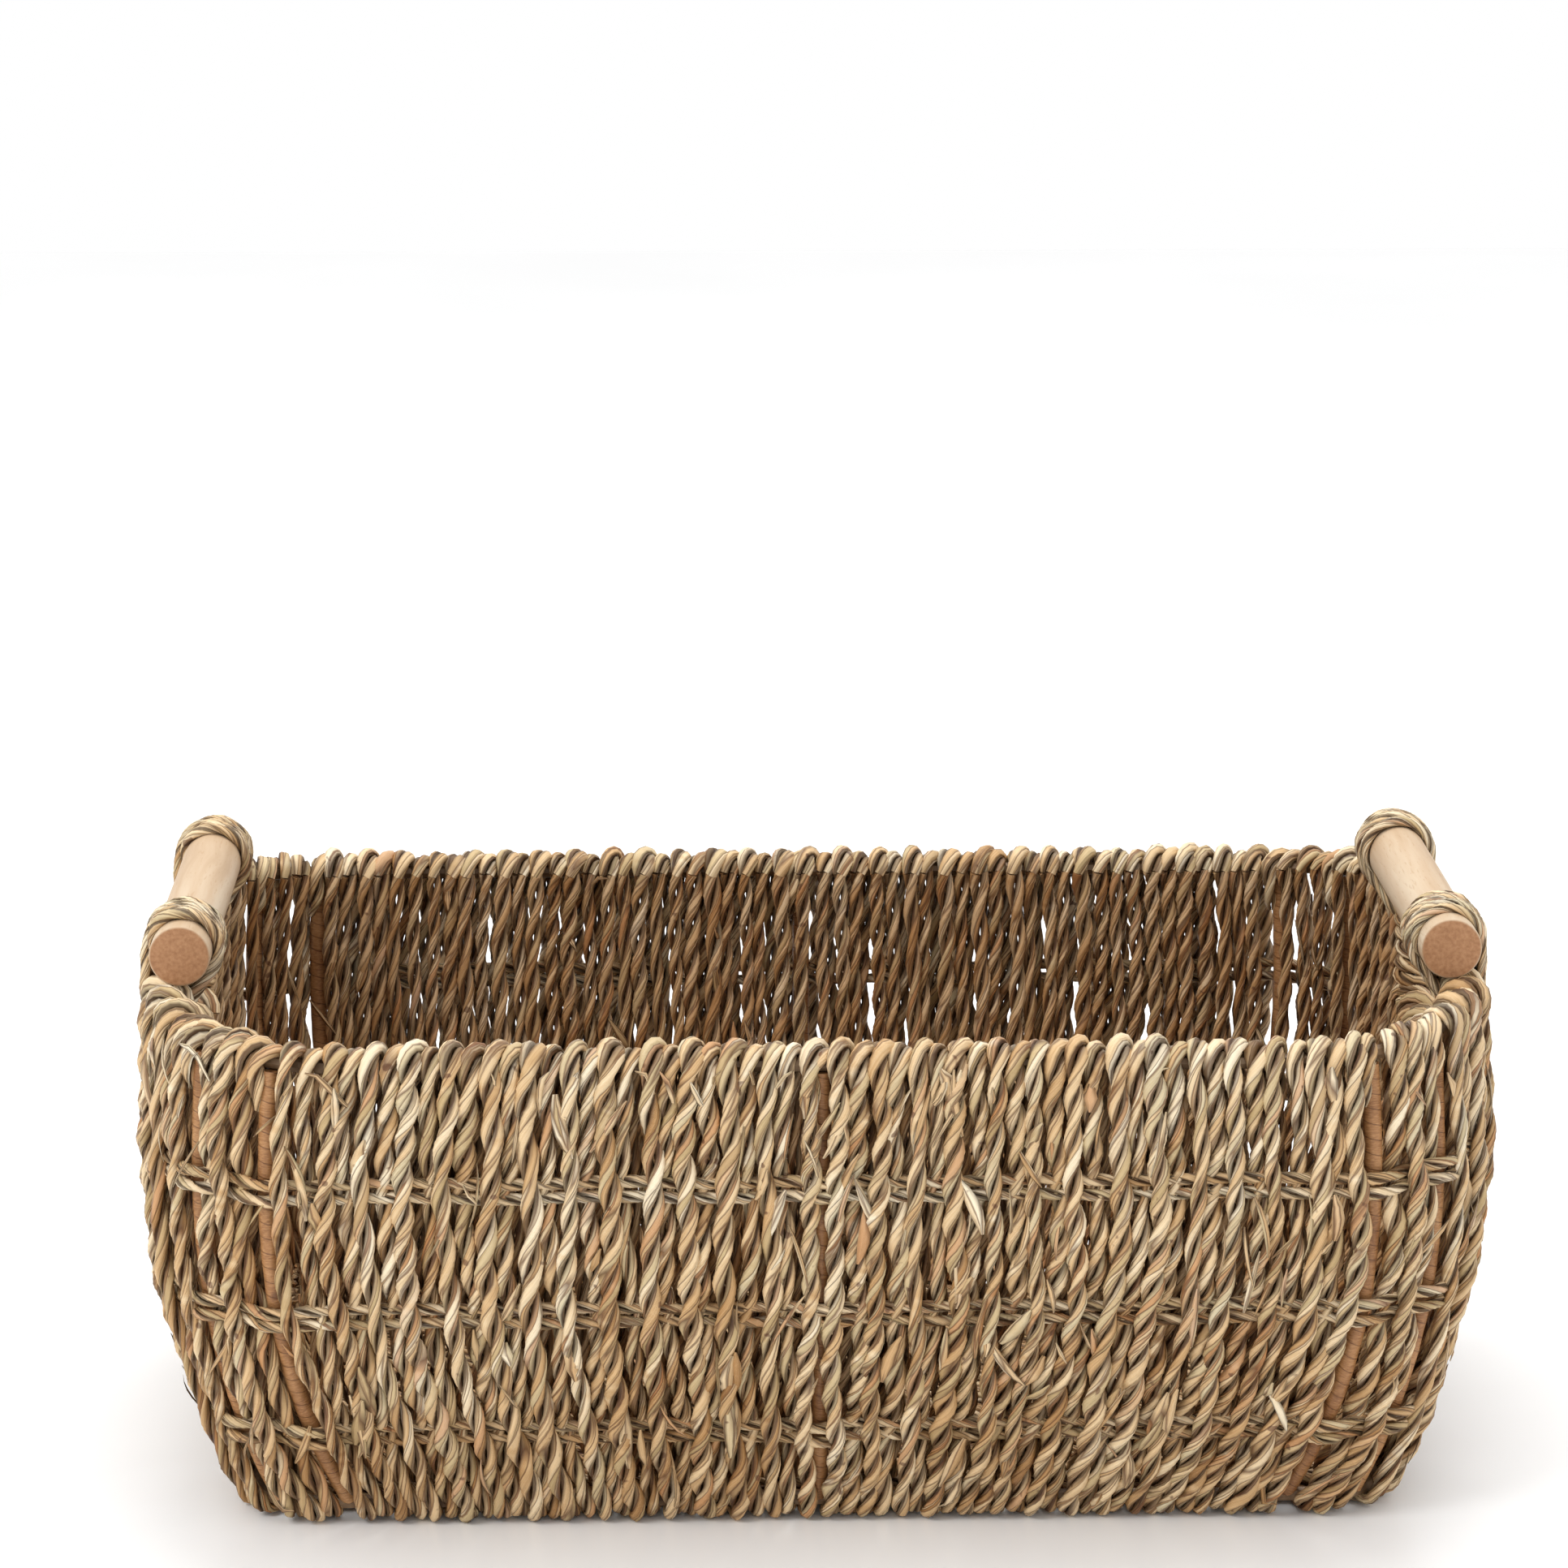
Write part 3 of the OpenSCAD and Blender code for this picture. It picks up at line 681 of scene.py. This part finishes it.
def cordPath(place, run, rng, halfPitch, back):
    cords = wallCords
    girth = cords["girth"] * (1 + rng.uniform(-1, 1) * cords["girthSpread"])
    flat = cords["flatness"]
    phases = [rng.uniform(0, fullTurn) for _ in range(4)]
    perMetre = 1 / rimQuarter
    stray = rng.uniform(-cords["stray"], cords["stray"])
    wallTop = wallSpot(place, 1)[0].z
    topZ = wireTop(run) or wallTop
    topRise = (topZ - baseZ) / (wallTop - baseZ)
    layer = basketShape["layerOut"] + rng.uniform(-cords["layerSpread"], cords["layerSpread"])
    layer += (-1 if back else 0.8) * cords["depth"]

    def shifted(rise):
        sway = math.sin(phases[0] + rise * 7) + 0.6 * math.sin(phases[1] + rise * 15)
        fade = smoothStep(min(rise, topRise - rise) * 8)
        return place + (stray + sway * cords["wander"] * fade) * perMetre

    outer, inner = [], []
    centre, out = wallSpot(shifted(0), 0)
    start, facing = roundWire(centre, out, -math.pi / 2, cords["baseRadius"])
    outer.append((start - out * cords["tuck"], facing, girth, girth * flat * cords["pressed"]))
    for i in range(5):
        angle = -math.pi / 2 + (math.pi / 2 - wallLean(0)) * i / 4
        radius = cords["baseRadius"] + (layer - cords["baseRadius"]) * smoothStep(i / 4)
        position, facing = roundWire(centre, out, angle, radius)
        pressed = cords["pressed"] + (1 - cords["pressed"]) * i / 4
        outer.append((position, facing, girth, girth * flat * pressed))
    outerPuff, innerPuff = cords["puff"]
    for i in range(1, cords["outerSteps"]):
        rise = topRise * (0.015 + 0.97 * i / cords["outerSteps"])
        puff = outerPuff * math.sin(phases[2] + rise * 11)
        level = baseZ + rise * (wallTop - baseZ)
        near = max(math.exp(-((level - h) / cords["hoopReach"]) ** 2) for h in hoopLevels)
        puff += near * (-cords["dip"] if back else 0.0007)
        swell = 1 + cords["swell"] * math.sin(phases[3] + rise * 16)
        position, facing = wallAt(shifted(rise), rise, layer + puff)
        outer.append((position, facing, girth * swell, girth * flat))
    slant = halfPitch * perMetre
    loop = rimLoop(shifted(topRise), slant, topRise, topZ, layer, girth, flat)
    outer += loop
    inner.append(loop[-1])
    foot = cords["foot"]["end" if abs(out.x) > 0.7 else "long"]
    thin, steps = cords["innerShare"], cords["innerSteps"]
    for i in range(1, steps + 1):
        rise = topRise - (topRise - foot) * i / steps
        puff = innerPuff * math.sin(phases[3] + rise * 9)
        sway = math.sin(phases[1] + rise * 6) * cords["wander"] * smoothStep((topRise - rise) * 6)
        position, facing = wallAt(place + (stray + sway) * perMetre + slant, rise, -layer - puff)
        inner.append((position, -facing, girth * thin, girth * flat * thin))
    return outer, inner


def weaveWall():
    rng = random.Random(wallCords["seed"])
    cords = []
    for quarter in range(4):
        runs = cordRuns()
        for index, run in enumerate(runs):
            share = run / rimQuarter
            place = quarter + (1 - share if quarter % 2 else share)
            if quarter % 2:
                gapAfter = run - runs[index - 1] if index else 2 * runs[0]
            else:
                gapAfter = runs[index + 1] - run if index + 1 < len(runs) else 2 * (rimQuarter - run)
            outer, inner = cordPath(place, run, rng, min(gapAfter, 0.008) / 2, index % 2)
            twist = wallCords["twist"] * (1 + rng.uniform(-1, 1) * wallCords["twistSpread"])
            tone = rng.random()
            outerLine = addTwist(outer, twist, rng.uniform(0, fullTurn), tone)
            innerLine = addTwist(inner, twist, outerLine[-1][3], tone)
            cords.append((place, outerLine, innerLine))
    shares = [*wallCords["ribShares"].values(), middleShare]
    for quarter in range(4):
        for share in shares[:4 - quarter % 2]:
            place = quarter + (1 - share if quarter % 2 else share)
            cords.append((place, ribLoop(place, rng), None))
    return cords


wall = weaveWall()
print("basket:", len(wall), "wall cords")

# Where each panel starts and ends round the wall. The joints stand at the middle of each corner,
# and in the middle of the long walls.
cornerJoint = (halfY - basketShape["rimCorner"] + basketShape["rimCorner"] * math.pi / 4) / rimQuarter
panels = {
    "BackRight": (cornerJoint, 1, "back"), "BackLeft": (1, 2 - cornerJoint, "back"),
    "Left": (2 - cornerJoint, 2 + cornerJoint, "left"),
    "FrontLeft": (2 + cornerJoint, 3, "front"), "FrontRight": (3, 4 - cornerJoint, "front"),
    "Right": (4 - cornerJoint, 4 + cornerJoint, "right")}


def buildWalls():
    for name, (first, last, side) in panels.items():
        chosen = [c for c in wall if first <= c[0] < last or first <= c[0] + 4 < last]
        nodes = ["outer_weave_" + side]
        if side in ("front", "back"):
            nodes.append("rim_roll_" + side)
        else:
            nodes += ["shoulder_roll_%s_%s" % (side, end) for end in ("front", "back")]
        makeCords("outerCords" + name, [c[1] for c in chosen], cordTree, outerSettings,
                  grassOuter, nodes)
        makeCords("innerCords" + name, [c[2] for c in chosen if c[2]], cordTree, innerSettings,
                  grassInnerShaded, ["inner_weave_" + side])


buildWalls()

# ---- Loose blades: flat pointed ends that work out of the cords ----

strays = {
    "outside": 400, "inside": 130, "rim": 60,
    "length": (0.006, 0.022), "widths": (0.0005, 0.0007, 0.0010, 0.0014, 0.0022),
    "lift": (0.0, 0.0011), "bow": (-0.3, 0.3),
    "clear": 0.030,              # kept this far below the hand openings
    "seed": 90,
}
strayBlade = {"Ring step": 0.0035, "Sides": 5, "Ply thickness": 0.5, "Ply reach": 0.0,
              "Ply flatness": 0.35, "Fold": 0.0, "Unevenness": 0.3, "Roll": 1.6, "Seed": 6}


def strayLine(place, rise, inside, rng):
    sign = -1 if inside else 1
    length = rng.uniform(*strays["length"])
    width = rng.choice(strays["widths"])
    lean = rng.gauss(0.12, 0.35) + (math.pi if rng.random() < 0.5 else 0)
    height = wallSpot(place, 1)[0].z - baseZ
    lift, bow = rng.uniform(*strays["lift"]), rng.uniform(*strays["bow"])
    surface = basketShape["layerOut"] + 0.0026
    fromMiddle = abs((place + 1) % 2 - 1) * rimQuarter
    if fromMiddle < legY + strays["clear"]:  # a hand opening cuts the wall here
        rise = min(rise, (sillZ - strays["clear"] - baseZ) / height * rng.uniform(0.1, 1))
    points = []
    for i in range(6):
        u = i / 5
        turn = lean + bow * (u - 0.5)
        along = place + math.sin(turn) * length * u / rimQuarter
        up = rise + math.cos(turn) * length * u / height
        off = surface - 0.0016 + 0.0024 * math.sin(u * 2.2) + lift * u * u
        position, facing = wallAt(along, min(max(up, 0.02), 1), sign * off)
        size = width * (0.25 + math.sin(math.pi * min(u * 0.9 + 0.08, 1)))
        points.append((position, facing * sign, size, size))
    return addTwist(points, 0, rng.uniform(-0.3, 0.3), rng.random())


def buildStrays():
    rng = random.Random(strays["seed"])

    def scattered(low, high, inside):
        return strayLine(rng.uniform(0, 4), rng.uniform(low, high), inside, rng)

    def nearRim():
        place = rng.uniform(0.45, 1.55) + rng.choice((0, 2))
        return strayLine(place, rng.uniform(0.9, 0.97), False, rng)

    outside = [scattered(0.04, 0.97, False) for _ in range(strays["outside"])]
    outside += [nearRim() for _ in range(strays["rim"])]
    inside = [scattered(0.1, 0.97, True) for _ in range(strays["inside"])]
    makeCords("looseBladesOutside", outside, plainTree, strayBlade, grassLoose, [])
    makeCords("looseBladesInside", inside, plainTree, strayBlade, grassInnerShaded, [])


buildStrays()

# ---- Floor ----

floorCords = {"pitch": 0.0059, "girth": 0.0056, "upperZ": 0.0108, "lowerZ": 0.0026,
              "twist": 44.0, "seed": 77}


def buildFloor():
    rng = random.Random(floorCords["seed"])
    upper, lower = [], []
    innerX, innerY = baseHigh.x - wireRadius, baseHigh.y - wireRadius
    count = int((innerY - 0.004) * 2 / floorCords["pitch"])
    for i in range(count + 1):
        y = (i / count * 2 - 1) * (innerY - 0.0045)
        cornerCut = basketShape["baseCorner"]
        beyond = max(abs(y) - (innerY - cornerCut), 0.0)
        reach = innerX - cornerCut + math.sqrt(max(cornerCut ** 2 - beyond ** 2, 0.0))
        girth = floorCords["girth"] * rng.uniform(0.93, 1.06)
        phase = rng.uniform(0, fullTurn)
        flat = []
        for k in range(25):
            x = (k / 12 - 1) * (reach - 0.012)
            sway = 0.0005 * math.sin(phase + x * 60)
            z = floorCords["upperZ"] + 0.0003 * math.sin(phase + x * 90)
            flat.append((Vector((x, y + sway, z)), Vector((0, 0, 1)), girth, girth * 0.84))
        rise = []
        for k in range(6):
            angle = math.pi / 2 * k / 5
            z = floorCords["upperZ"] + 0.009 * (1 - math.cos(angle)) + (0.006 if k == 5 else 0)
            x = reach - 0.012 + 0.0075 * math.sin(angle)
            facing = Vector((-math.sin(angle), 0, math.cos(angle)))
            rise.append((Vector((x + (0.0015 if k == 5 else 0), y, z)), facing, girth, girth * 0.8))
        fall = [(Vector((-p.x, p.y, p.z)), Vector((-f.x, f.y, f.z)), a, b)
                for p, f, a, b in reversed(rise)]
        twist = floorCords["twist"] * rng.uniform(0.85, 1.15)
        upper.append(addTwist(fall[:-1] + flat + rise[1:], twist,
                              rng.uniform(0, fullTurn), rng.random()))
        under = []
        for k in range(19):
            x = (k / 9 - 1) * (reach + 0.001)
            under.append((Vector((x, y + 0.0004 * math.sin(phase + x * 50), floorCords["lowerZ"])),
                          Vector((0, 0, -1)), girth, girth * 0.84))
        if abs(y) < innerY - 0.009:
            lower.append(addTwist(under, floorCords["twist"],
                                  rng.uniform(0, fullTurn), rng.random()))
    makeCords("floorCordsUpper", upper, cordTree, innerSettings,
              grassFloor, ["floor_upper"])
    makeCords("floorCordsLower", lower, cordTree, innerSettings,
              grassInnerShaded, ["floor_lower"])


buildFloor()

# ---- Ribs: wires wound with brown tape ----

ribs = {"girth": 0.0058, "off": 0.0004}
ribSettings = {"Ring step": 0.0011, "Sides": 14, "Ply thickness": 0.5, "Ply reach": 0.0,
               "Ply flatness": 1.0, "Fold": 0.0, "Unevenness": 0.2, "Roll": 0.0}
quarterOf = {"FrontLeft": 2, "FrontRight": 3, "BackLeft": 1, "BackRight": 0}
ribPlaces = [(spot, quarter, "long") for spot, quarter in quarterOf.items()]
ribPlaces += [("Corner" + spot, quarter, "corner") for spot, quarter in quarterOf.items()]
ribPlaces += [("LeftFront", 2, "side"), ("LeftBack", 1, "side"),
              ("RightFront", 3, "side"), ("RightBack", 0, "side"),
              ("FrontCentre", 2, "front"), ("BackCentre", 0, "front"),
              ("LeftCentre", 2, "end"), ("RightCentre", 0, "end")]


def buildRibs():
    shares = dict(wallCords["ribShares"], front=middleShare, end=0.0)
    for spot, quarter, kind in ribPlaces:
        node = "rib" + "".join("_" + c.lower() if c.isupper() else c for c in spot)
        share = shares[kind]
        place = quarter + (1 - share if quarter % 2 else share)
        top = (sillZ - baseZ) / (endZ - baseZ) if kind == "end" else 1.0
        points = []
        for i in range(13):
            rise = top * (0.01 + 0.975 * i / 12)
            position, facing = wallAt(place, rise, ribs["off"])
            points.append((position, facing, ribs["girth"], ribs["girth"]))
        makeCords("rib" + spot, [addTwist(points, 0, 0, 0.3)], plainTree,
                  dict(ribSettings, Seed=quarter), ribTape, [node])


buildRibs()

# ---- Hoops: two strands round the basket between the layers, in front of the ribs ----

hoops = {"girth": 0.0048, "flatness": 0.8, "apart": 0.0047, "twist": 42.0, "off": 0.0024,
         "atRib": 0.0030, "points": 420, "seed": 5}
hoopSettings = {"Ring step": 0.002, "Sides": 7, "Ply thickness": 0.31, "Ply reach": 0.2,
                "Ply flatness": 0.8, "Fold": 0.1, "Unevenness": 0.3, "Roll": 1.0, "Seed": 4}


def buildHoops():
    rng = random.Random(hoops["seed"])
    shares = [0, *wallCords["ribShares"].values(), 1]
    ribAt = sorted(set(round(q + (1 - s if q % 2 else s), 5) for q in range(4) for s in shares))
    for name, level in zip(hoopNames, hoopLevels):
        lines = []
        for strand in (-1, 1):
            points, count, phase = [], hoops["points"], rng.uniform(0, fullTurn)
            for i in range(count + 1):
                place = 4 * i / count
                near = min(abs(place - r) for r in ribAt + [0, 4]) * rimQuarter
                over = smoothStep(1 - (near - 0.002) / 0.008)
                top = wallSpot(place, 1)[0].z
                z = level + strand * hoops["apart"] / 2 + 0.0004 * math.sin(phase + place * 30)
                rise = (z - baseZ) / (top - baseZ)
                position, facing = wallAt(place, rise, hoops["off"] + hoops["atRib"] * over)
                points.append((position, facing, hoops["girth"],
                               hoops["girth"] * hoops["flatness"]))
            lines.append(addTwist(points, hoops["twist"], phase, rng.random()))
        makeCords("hoop" + name.capitalize(), lines, cordTree, hoopSettings,
                  grassHoop, ["hoop_" + name])


buildHoops()

# ---- Handles ----

dowels = {"bevel": 0.0007, "segments": 96, "rows": 14}


def buildDowel(name, node):
    low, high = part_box(node)
    radius, half = (high.x - low.x) / 2, (high.y - low.y) / 2
    middle = (low + high) / 2
    bevel, segments = dowels["bevel"], dowels["segments"]
    profile = [(r, -half, 1) for r in (0.0, radius * 0.35, radius * 0.7, radius - bevel)]
    profile += [(radius - bevel + bevel * math.sin(a), -half + bevel - bevel * math.cos(a), e)
                for a, e in ((0.4, 0.7), (0.8, 0.2), (1.2, 0), (1.5708, 0))]
    rows = dowels["rows"]
    profile += [(radius, -half + bevel + (half - bevel) * i / rows, 0) for i in range(1, rows + 1)]
    profile += [(r, -y, e) for r, y, e in reversed(profile[:-1])]
    verts, marks, faces = [], [], []
    for r, y, e in profile[1:-1]:
        for i in range(segments):
            a = 2 * math.pi * i / segments
            swell = 1 + 0.004 * math.sin(y * 60 + 2 * math.cos(a))
            verts.append((middle.x + r * swell * math.cos(a), middle.y + y,
                          middle.z + r * swell * math.sin(a)))
            marks.append(e)
    rings = len(profile) - 2
    for k in range(rings - 1):
        for i in range(segments):
            a, b = k * segments + i, k * segments + (i + 1) % segments
            faces.append((a, a + segments, b + segments, b))
    for end, y in ((0, -half), (rings - 1, half)):
        verts.append((middle.x, middle.y + y, middle.z))
        marks.append(1)
        for i in range(segments):
            a, b = end * segments + i, end * segments + (i + 1) % segments
            faces.append((len(verts) - 1, a, b) if end == 0 else (len(verts) - 1, b, a))
    mesh = bpy.data.meshes.new(name)
    mesh.from_pydata(verts, [], faces)
    mesh.attributes.new("endGrain", "FLOAT", "POINT").data.foreach_set("value", marks)
    mesh.shade_smooth()
    mesh.materials.append(dowelWood)
    piece = bpy.data.objects.new(name, mesh)
    bpy.context.scene.collection.objects.link(piece)
    settle(piece, [node])


dowelWood = woodMaterial()
buildDowel("dowelLeft", "dowel_left")
buildDowel("dowelRight", "dowel_right")

lashings = {
    "turns": 6, "girth": 0.0043, "flatness": 0.82, "pitch": 0.0029, "twist": 48.0,
    "points": 24,                # in one turn
    "dowelShare": 0.62,          # of a turn, on the dowel
    "run": 0.3,                  # of the rest, on the way to the rim's roll and again back
    "seed": 23,
}
lashingSettings = {"Ring step": 0.0015, "Sides": 11, "Ply thickness": 0.3, "Ply reach": 0.21,
                   "Ply flatness": 0.85, "Fold": 0.12, "Unevenness": 0.3, "Roll": 1.0, "Seed": 9}


# One lashing winds round the dowel and the rim's roll under it, like a belt on two pulleys
def lashingPath(sideX, y, dowelAt, dowelRadius, rng):
    cords = lashings
    thick = cords["girth"] * cords["flatness"]
    ringAt = Vector((sideX * halfX, 0, endZ))
    bigR, smallR = dowelRadius + thick * 0.38, basketShape["rollRadius"] - 0.001 + thick / 2
    axis = ringAt - dowelAt
    axis.y = 0
    far = axis.length
    axis.normalize()
    across = Vector((axis.z, 0, -axis.x))
    leaving = math.acos((bigR - smallR) / far)   # where the cord leaves the dowel
    perTurn, onDowel, toRoll = cords["points"], cords["dowelShare"], cords["run"]
    points = []
    for turn in range(cords["turns"]):
        jitter = rng.uniform(-0.0005, 0.0005)
        size = cords["girth"] * rng.uniform(0.88, 1.15)
        lift = rng.uniform(0, 0.0007)
        for i in range(perTurn):
            u = i / perTurn
            yNow = y + (turn + u - cords["turns"] / 2) * cords["pitch"] + jitter * math.sin(u * math.pi)
            if u < onDowel:
                a = leaving + (2 * math.pi - 2 * leaving) * u / onDowel
                facing = axis * math.cos(a) + across * math.sin(a)
                position = dowelAt + facing * (bigR + lift)
            else:
                v = (u - onDowel) / (1 - onDowel)
                a = -leaving + 2 * leaving * min(max((v - toRoll) / (1 - 2 * toRoll), 0), 1)
                facing = axis * math.cos(a) + across * math.sin(a)
                position = ringAt + facing * (smallR + lift)
                onFace = dowelAt + facing * (bigR + lift)
                if v < toRoll:
                    position = onFace.lerp(position, v / toRoll)
                elif v > 1 - toRoll:
                    position = position.lerp(onFace, (v - (1 - toRoll)) / toRoll)
            position.y = yNow
            toEnd = min(len(points), cords["turns"] * perTurn - 1 - len(points))
            fine = min(0.3 + toEnd * 0.2, 1)
            position -= facing * 0.0025 * (1 - fine)
            points.append((position, facing.copy(), size * fine, size * cords["flatness"] * fine))
    return addTwist(points, cords["twist"] * rng.uniform(0.8, 1.2), rng.uniform(0, 6), rng.random())


def buildLashings():
    rng = random.Random(lashings["seed"])
    for sideName, sideX in (("Left", -1), ("Right", 1)):
        low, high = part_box("dowel_" + sideName.lower())
        centre = (low + high) / 2
        for endName in ("Front", "Back"):
            node = "lashing_%s_%s" % (sideName.lower(), endName.lower())
            ringLow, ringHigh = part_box(node)
            y = (ringLow.y + ringHigh.y) / 2
            line = lashingPath(sideX, y, Vector((centre.x, 0, centre.z)), (high.x - low.x) / 2, rng)
            makeCords("lashing" + sideName + endName, [line], cordTree, lashingSettings,
                      grassLashing, [node])


buildLashings()

# ---- Wraps round the legs of the hand openings ----

wraps = {"girth": 0.0052, "flatness": 0.82, "pitch": 0.0049, "radius": 0.0044, "twist": 44.0,
         "points": 16, "seed": 61}
wrapSettings = dict(lashingSettings, **{"Ring step": 0.0017, "Sides": 10, "Seed": 2})


# The rim wire's way down one leg of an opening: from its top corner, down, to the sill
def legRoute():
    top, low = basketShape["topFillet"], basketShape["legFillet"]
    route = [(legY + top - top * math.sin(a), endZ - top + top * math.cos(a))
             for a in (0.0, 0.52, 1.05, 1.5708)]
    route += [(legY, endZ - top - (endZ - top - sillZ - low) * i / 6) for i in range(1, 7)]
    route += [(legY - low + low * math.cos(a), sillZ + low - low * math.sin(a))
              for a in (0.4, 0.8, 1.2, 1.5708)]
    return route


def buildWraps():
    rng = random.Random(wraps["seed"])
    route = legRoute()
    lengths = [0.0]
    for a, b in zip(route, route[1:]):
        lengths.append(lengths[-1] + math.dist(a, b))
    for sideName, sideX in (("Left", -1), ("Right", 1)):
        lines = []
        for signY in (-1, 1):
            turns = lengths[-1] / wraps["pitch"]
            count = int(turns * wraps["points"])
            points = []
            phase = rng.uniform(0, fullTurn)
            for i in range(count + 1):
                at = lengths[-1] * i / count
                k = next(j for j in range(1, len(lengths)) if at <= lengths[j] + 1e-9)
                f = (at - lengths[k - 1]) / (lengths[k] - lengths[k - 1])
                a, b = Vector(route[k - 1]), Vector(route[k])
                spot = a.lerp(b, f)
                along = (b - a).normalized()
                normal = Vector((0, -along.y, along.x))
                inset = wallInset((spot.y - baseZ) / (endZ - baseZ))[0]
                centre = Vector(((halfX - inset), spot.x, spot.y))
                angle = phase + 2 * math.pi * turns * i / count
                facing = Vector((1, 0, 0)) * math.cos(angle) + normal * math.sin(angle)
                place = centre + facing * (wraps["radius"] + 0.0003 * math.sin(angle * 0.37))
                girth = wraps["girth"] * (1 + 0.08 * math.sin(angle * 0.21))
                points.append((Vector((place.x * sideX, place.y * signY, place.z)),
                               Vector((facing.x * sideX, facing.y * signY, facing.z)),
                               girth, girth * wraps["flatness"]))
            lines.append(addTwist(points, wraps["twist"], phase, rng.random()))
        makeCords("openingWrap" + sideName, lines, cordTree, wrapSettings,
                  grassOuter, ["opening_roll_" + sideName.lower()])


buildWraps()

# ---- Wire frame that shows between the cords ----

# painted shade: the rim and base wire are dark brown so that they read as shadow between the cords
wireShadeDark = wireMaterial()
for node in ("rim_wire", "base_wire"):
    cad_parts[node].data.materials.clear()
    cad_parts[node].data.materials.append(wireShadeDark)
for i in range(1, 8):
    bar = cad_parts["floor_bar_%d" % i]
    bar.data.materials.clear()
    bar.data.materials.append(ribTape)

# ---- Floor, light and camera ----

studio = {"key": 17.0, "fill": 1.5, "top": 16.0, "world": 1.0}


def buildStage():
    mesh = bpy.data.meshes.new("studioFloor")
    mesh.from_pydata([(-3, -3, 0), (3, -3, 0), (3, 3, 0), (-3, 3, 0)], [], [(0, 1, 2, 3)])
    floor = bpy.data.objects.new("studioFloor", mesh)
    bpy.context.scene.collection.objects.link(floor)
    material, tree, shader = newMaterial("paleFloor")
    haze = noiseAt(tree, objectSpot(tree), 3.0)
    pale = colourRamp(tree, haze, [(0.3, (246, 246, 246)), (0.7, (250, 250, 250))])
    tree.links.new(pale, shader.inputs["Base Color"])
    shader.inputs["Roughness"].default_value = 0.35
    mesh.materials.append(material)


def areaLight(name, spot, target, size, power):
    light = bpy.data.lights.new(name, "AREA")
    light.shape, light.size, light.energy = "DISK", size, power
    lamp = bpy.data.objects.new(name, light)
    lamp.location = spot
    lamp.rotation_euler = (Vector(target) - Vector(spot)).to_track_quat("-Z", "Y").to_euler()
    bpy.context.scene.collection.objects.link(lamp)


buildStage()
areaLight("keyLight", (-1.4, -1.2, 1.6), (0, 0, 0.08), 0.9, studio["key"])
areaLight("fillLight", (1.5, -1.2, 0.9), (0, 0, 0.08), 1.2, studio["fill"])
areaLight("topLight", (0.1, 0.5, 1.9), (0, 0, 0.05), 1.2, studio["top"])
world = bpy.data.worlds.new("studioSky")
world.use_nodes = True
sky = world.node_tree.nodes["Background"].inputs
sky[0].default_value = (1, 1, 1, 1)
sky[1].default_value = studio["world"]
bpy.context.scene.world = world
bpy.context.scene.view_settings.view_transform = "Standard"

view = {"lens": 118.1, "spot": (-0.0086, -1.6106, 0.5923), "down": 13.24, "turn": 0.023}
cameraData = bpy.data.cameras.new("camera")
cameraData.lens = view["lens"]
cameraData.sensor_width = 36
camera = bpy.data.objects.new("camera", cameraData)
turn = Matrix.Rotation(-view["turn"], 4, "Z")
camera.matrix_world = (turn @ Matrix.Translation(view["spot"])
                       @ Matrix.Rotation(math.radians(90 - view["down"]), 4, "X"))
bpy.context.scene.collection.objects.link(camera)
bpy.context.scene.camera = camera
print("basket: stage, lights and camera ready")

bpy.context.view_layer.update()
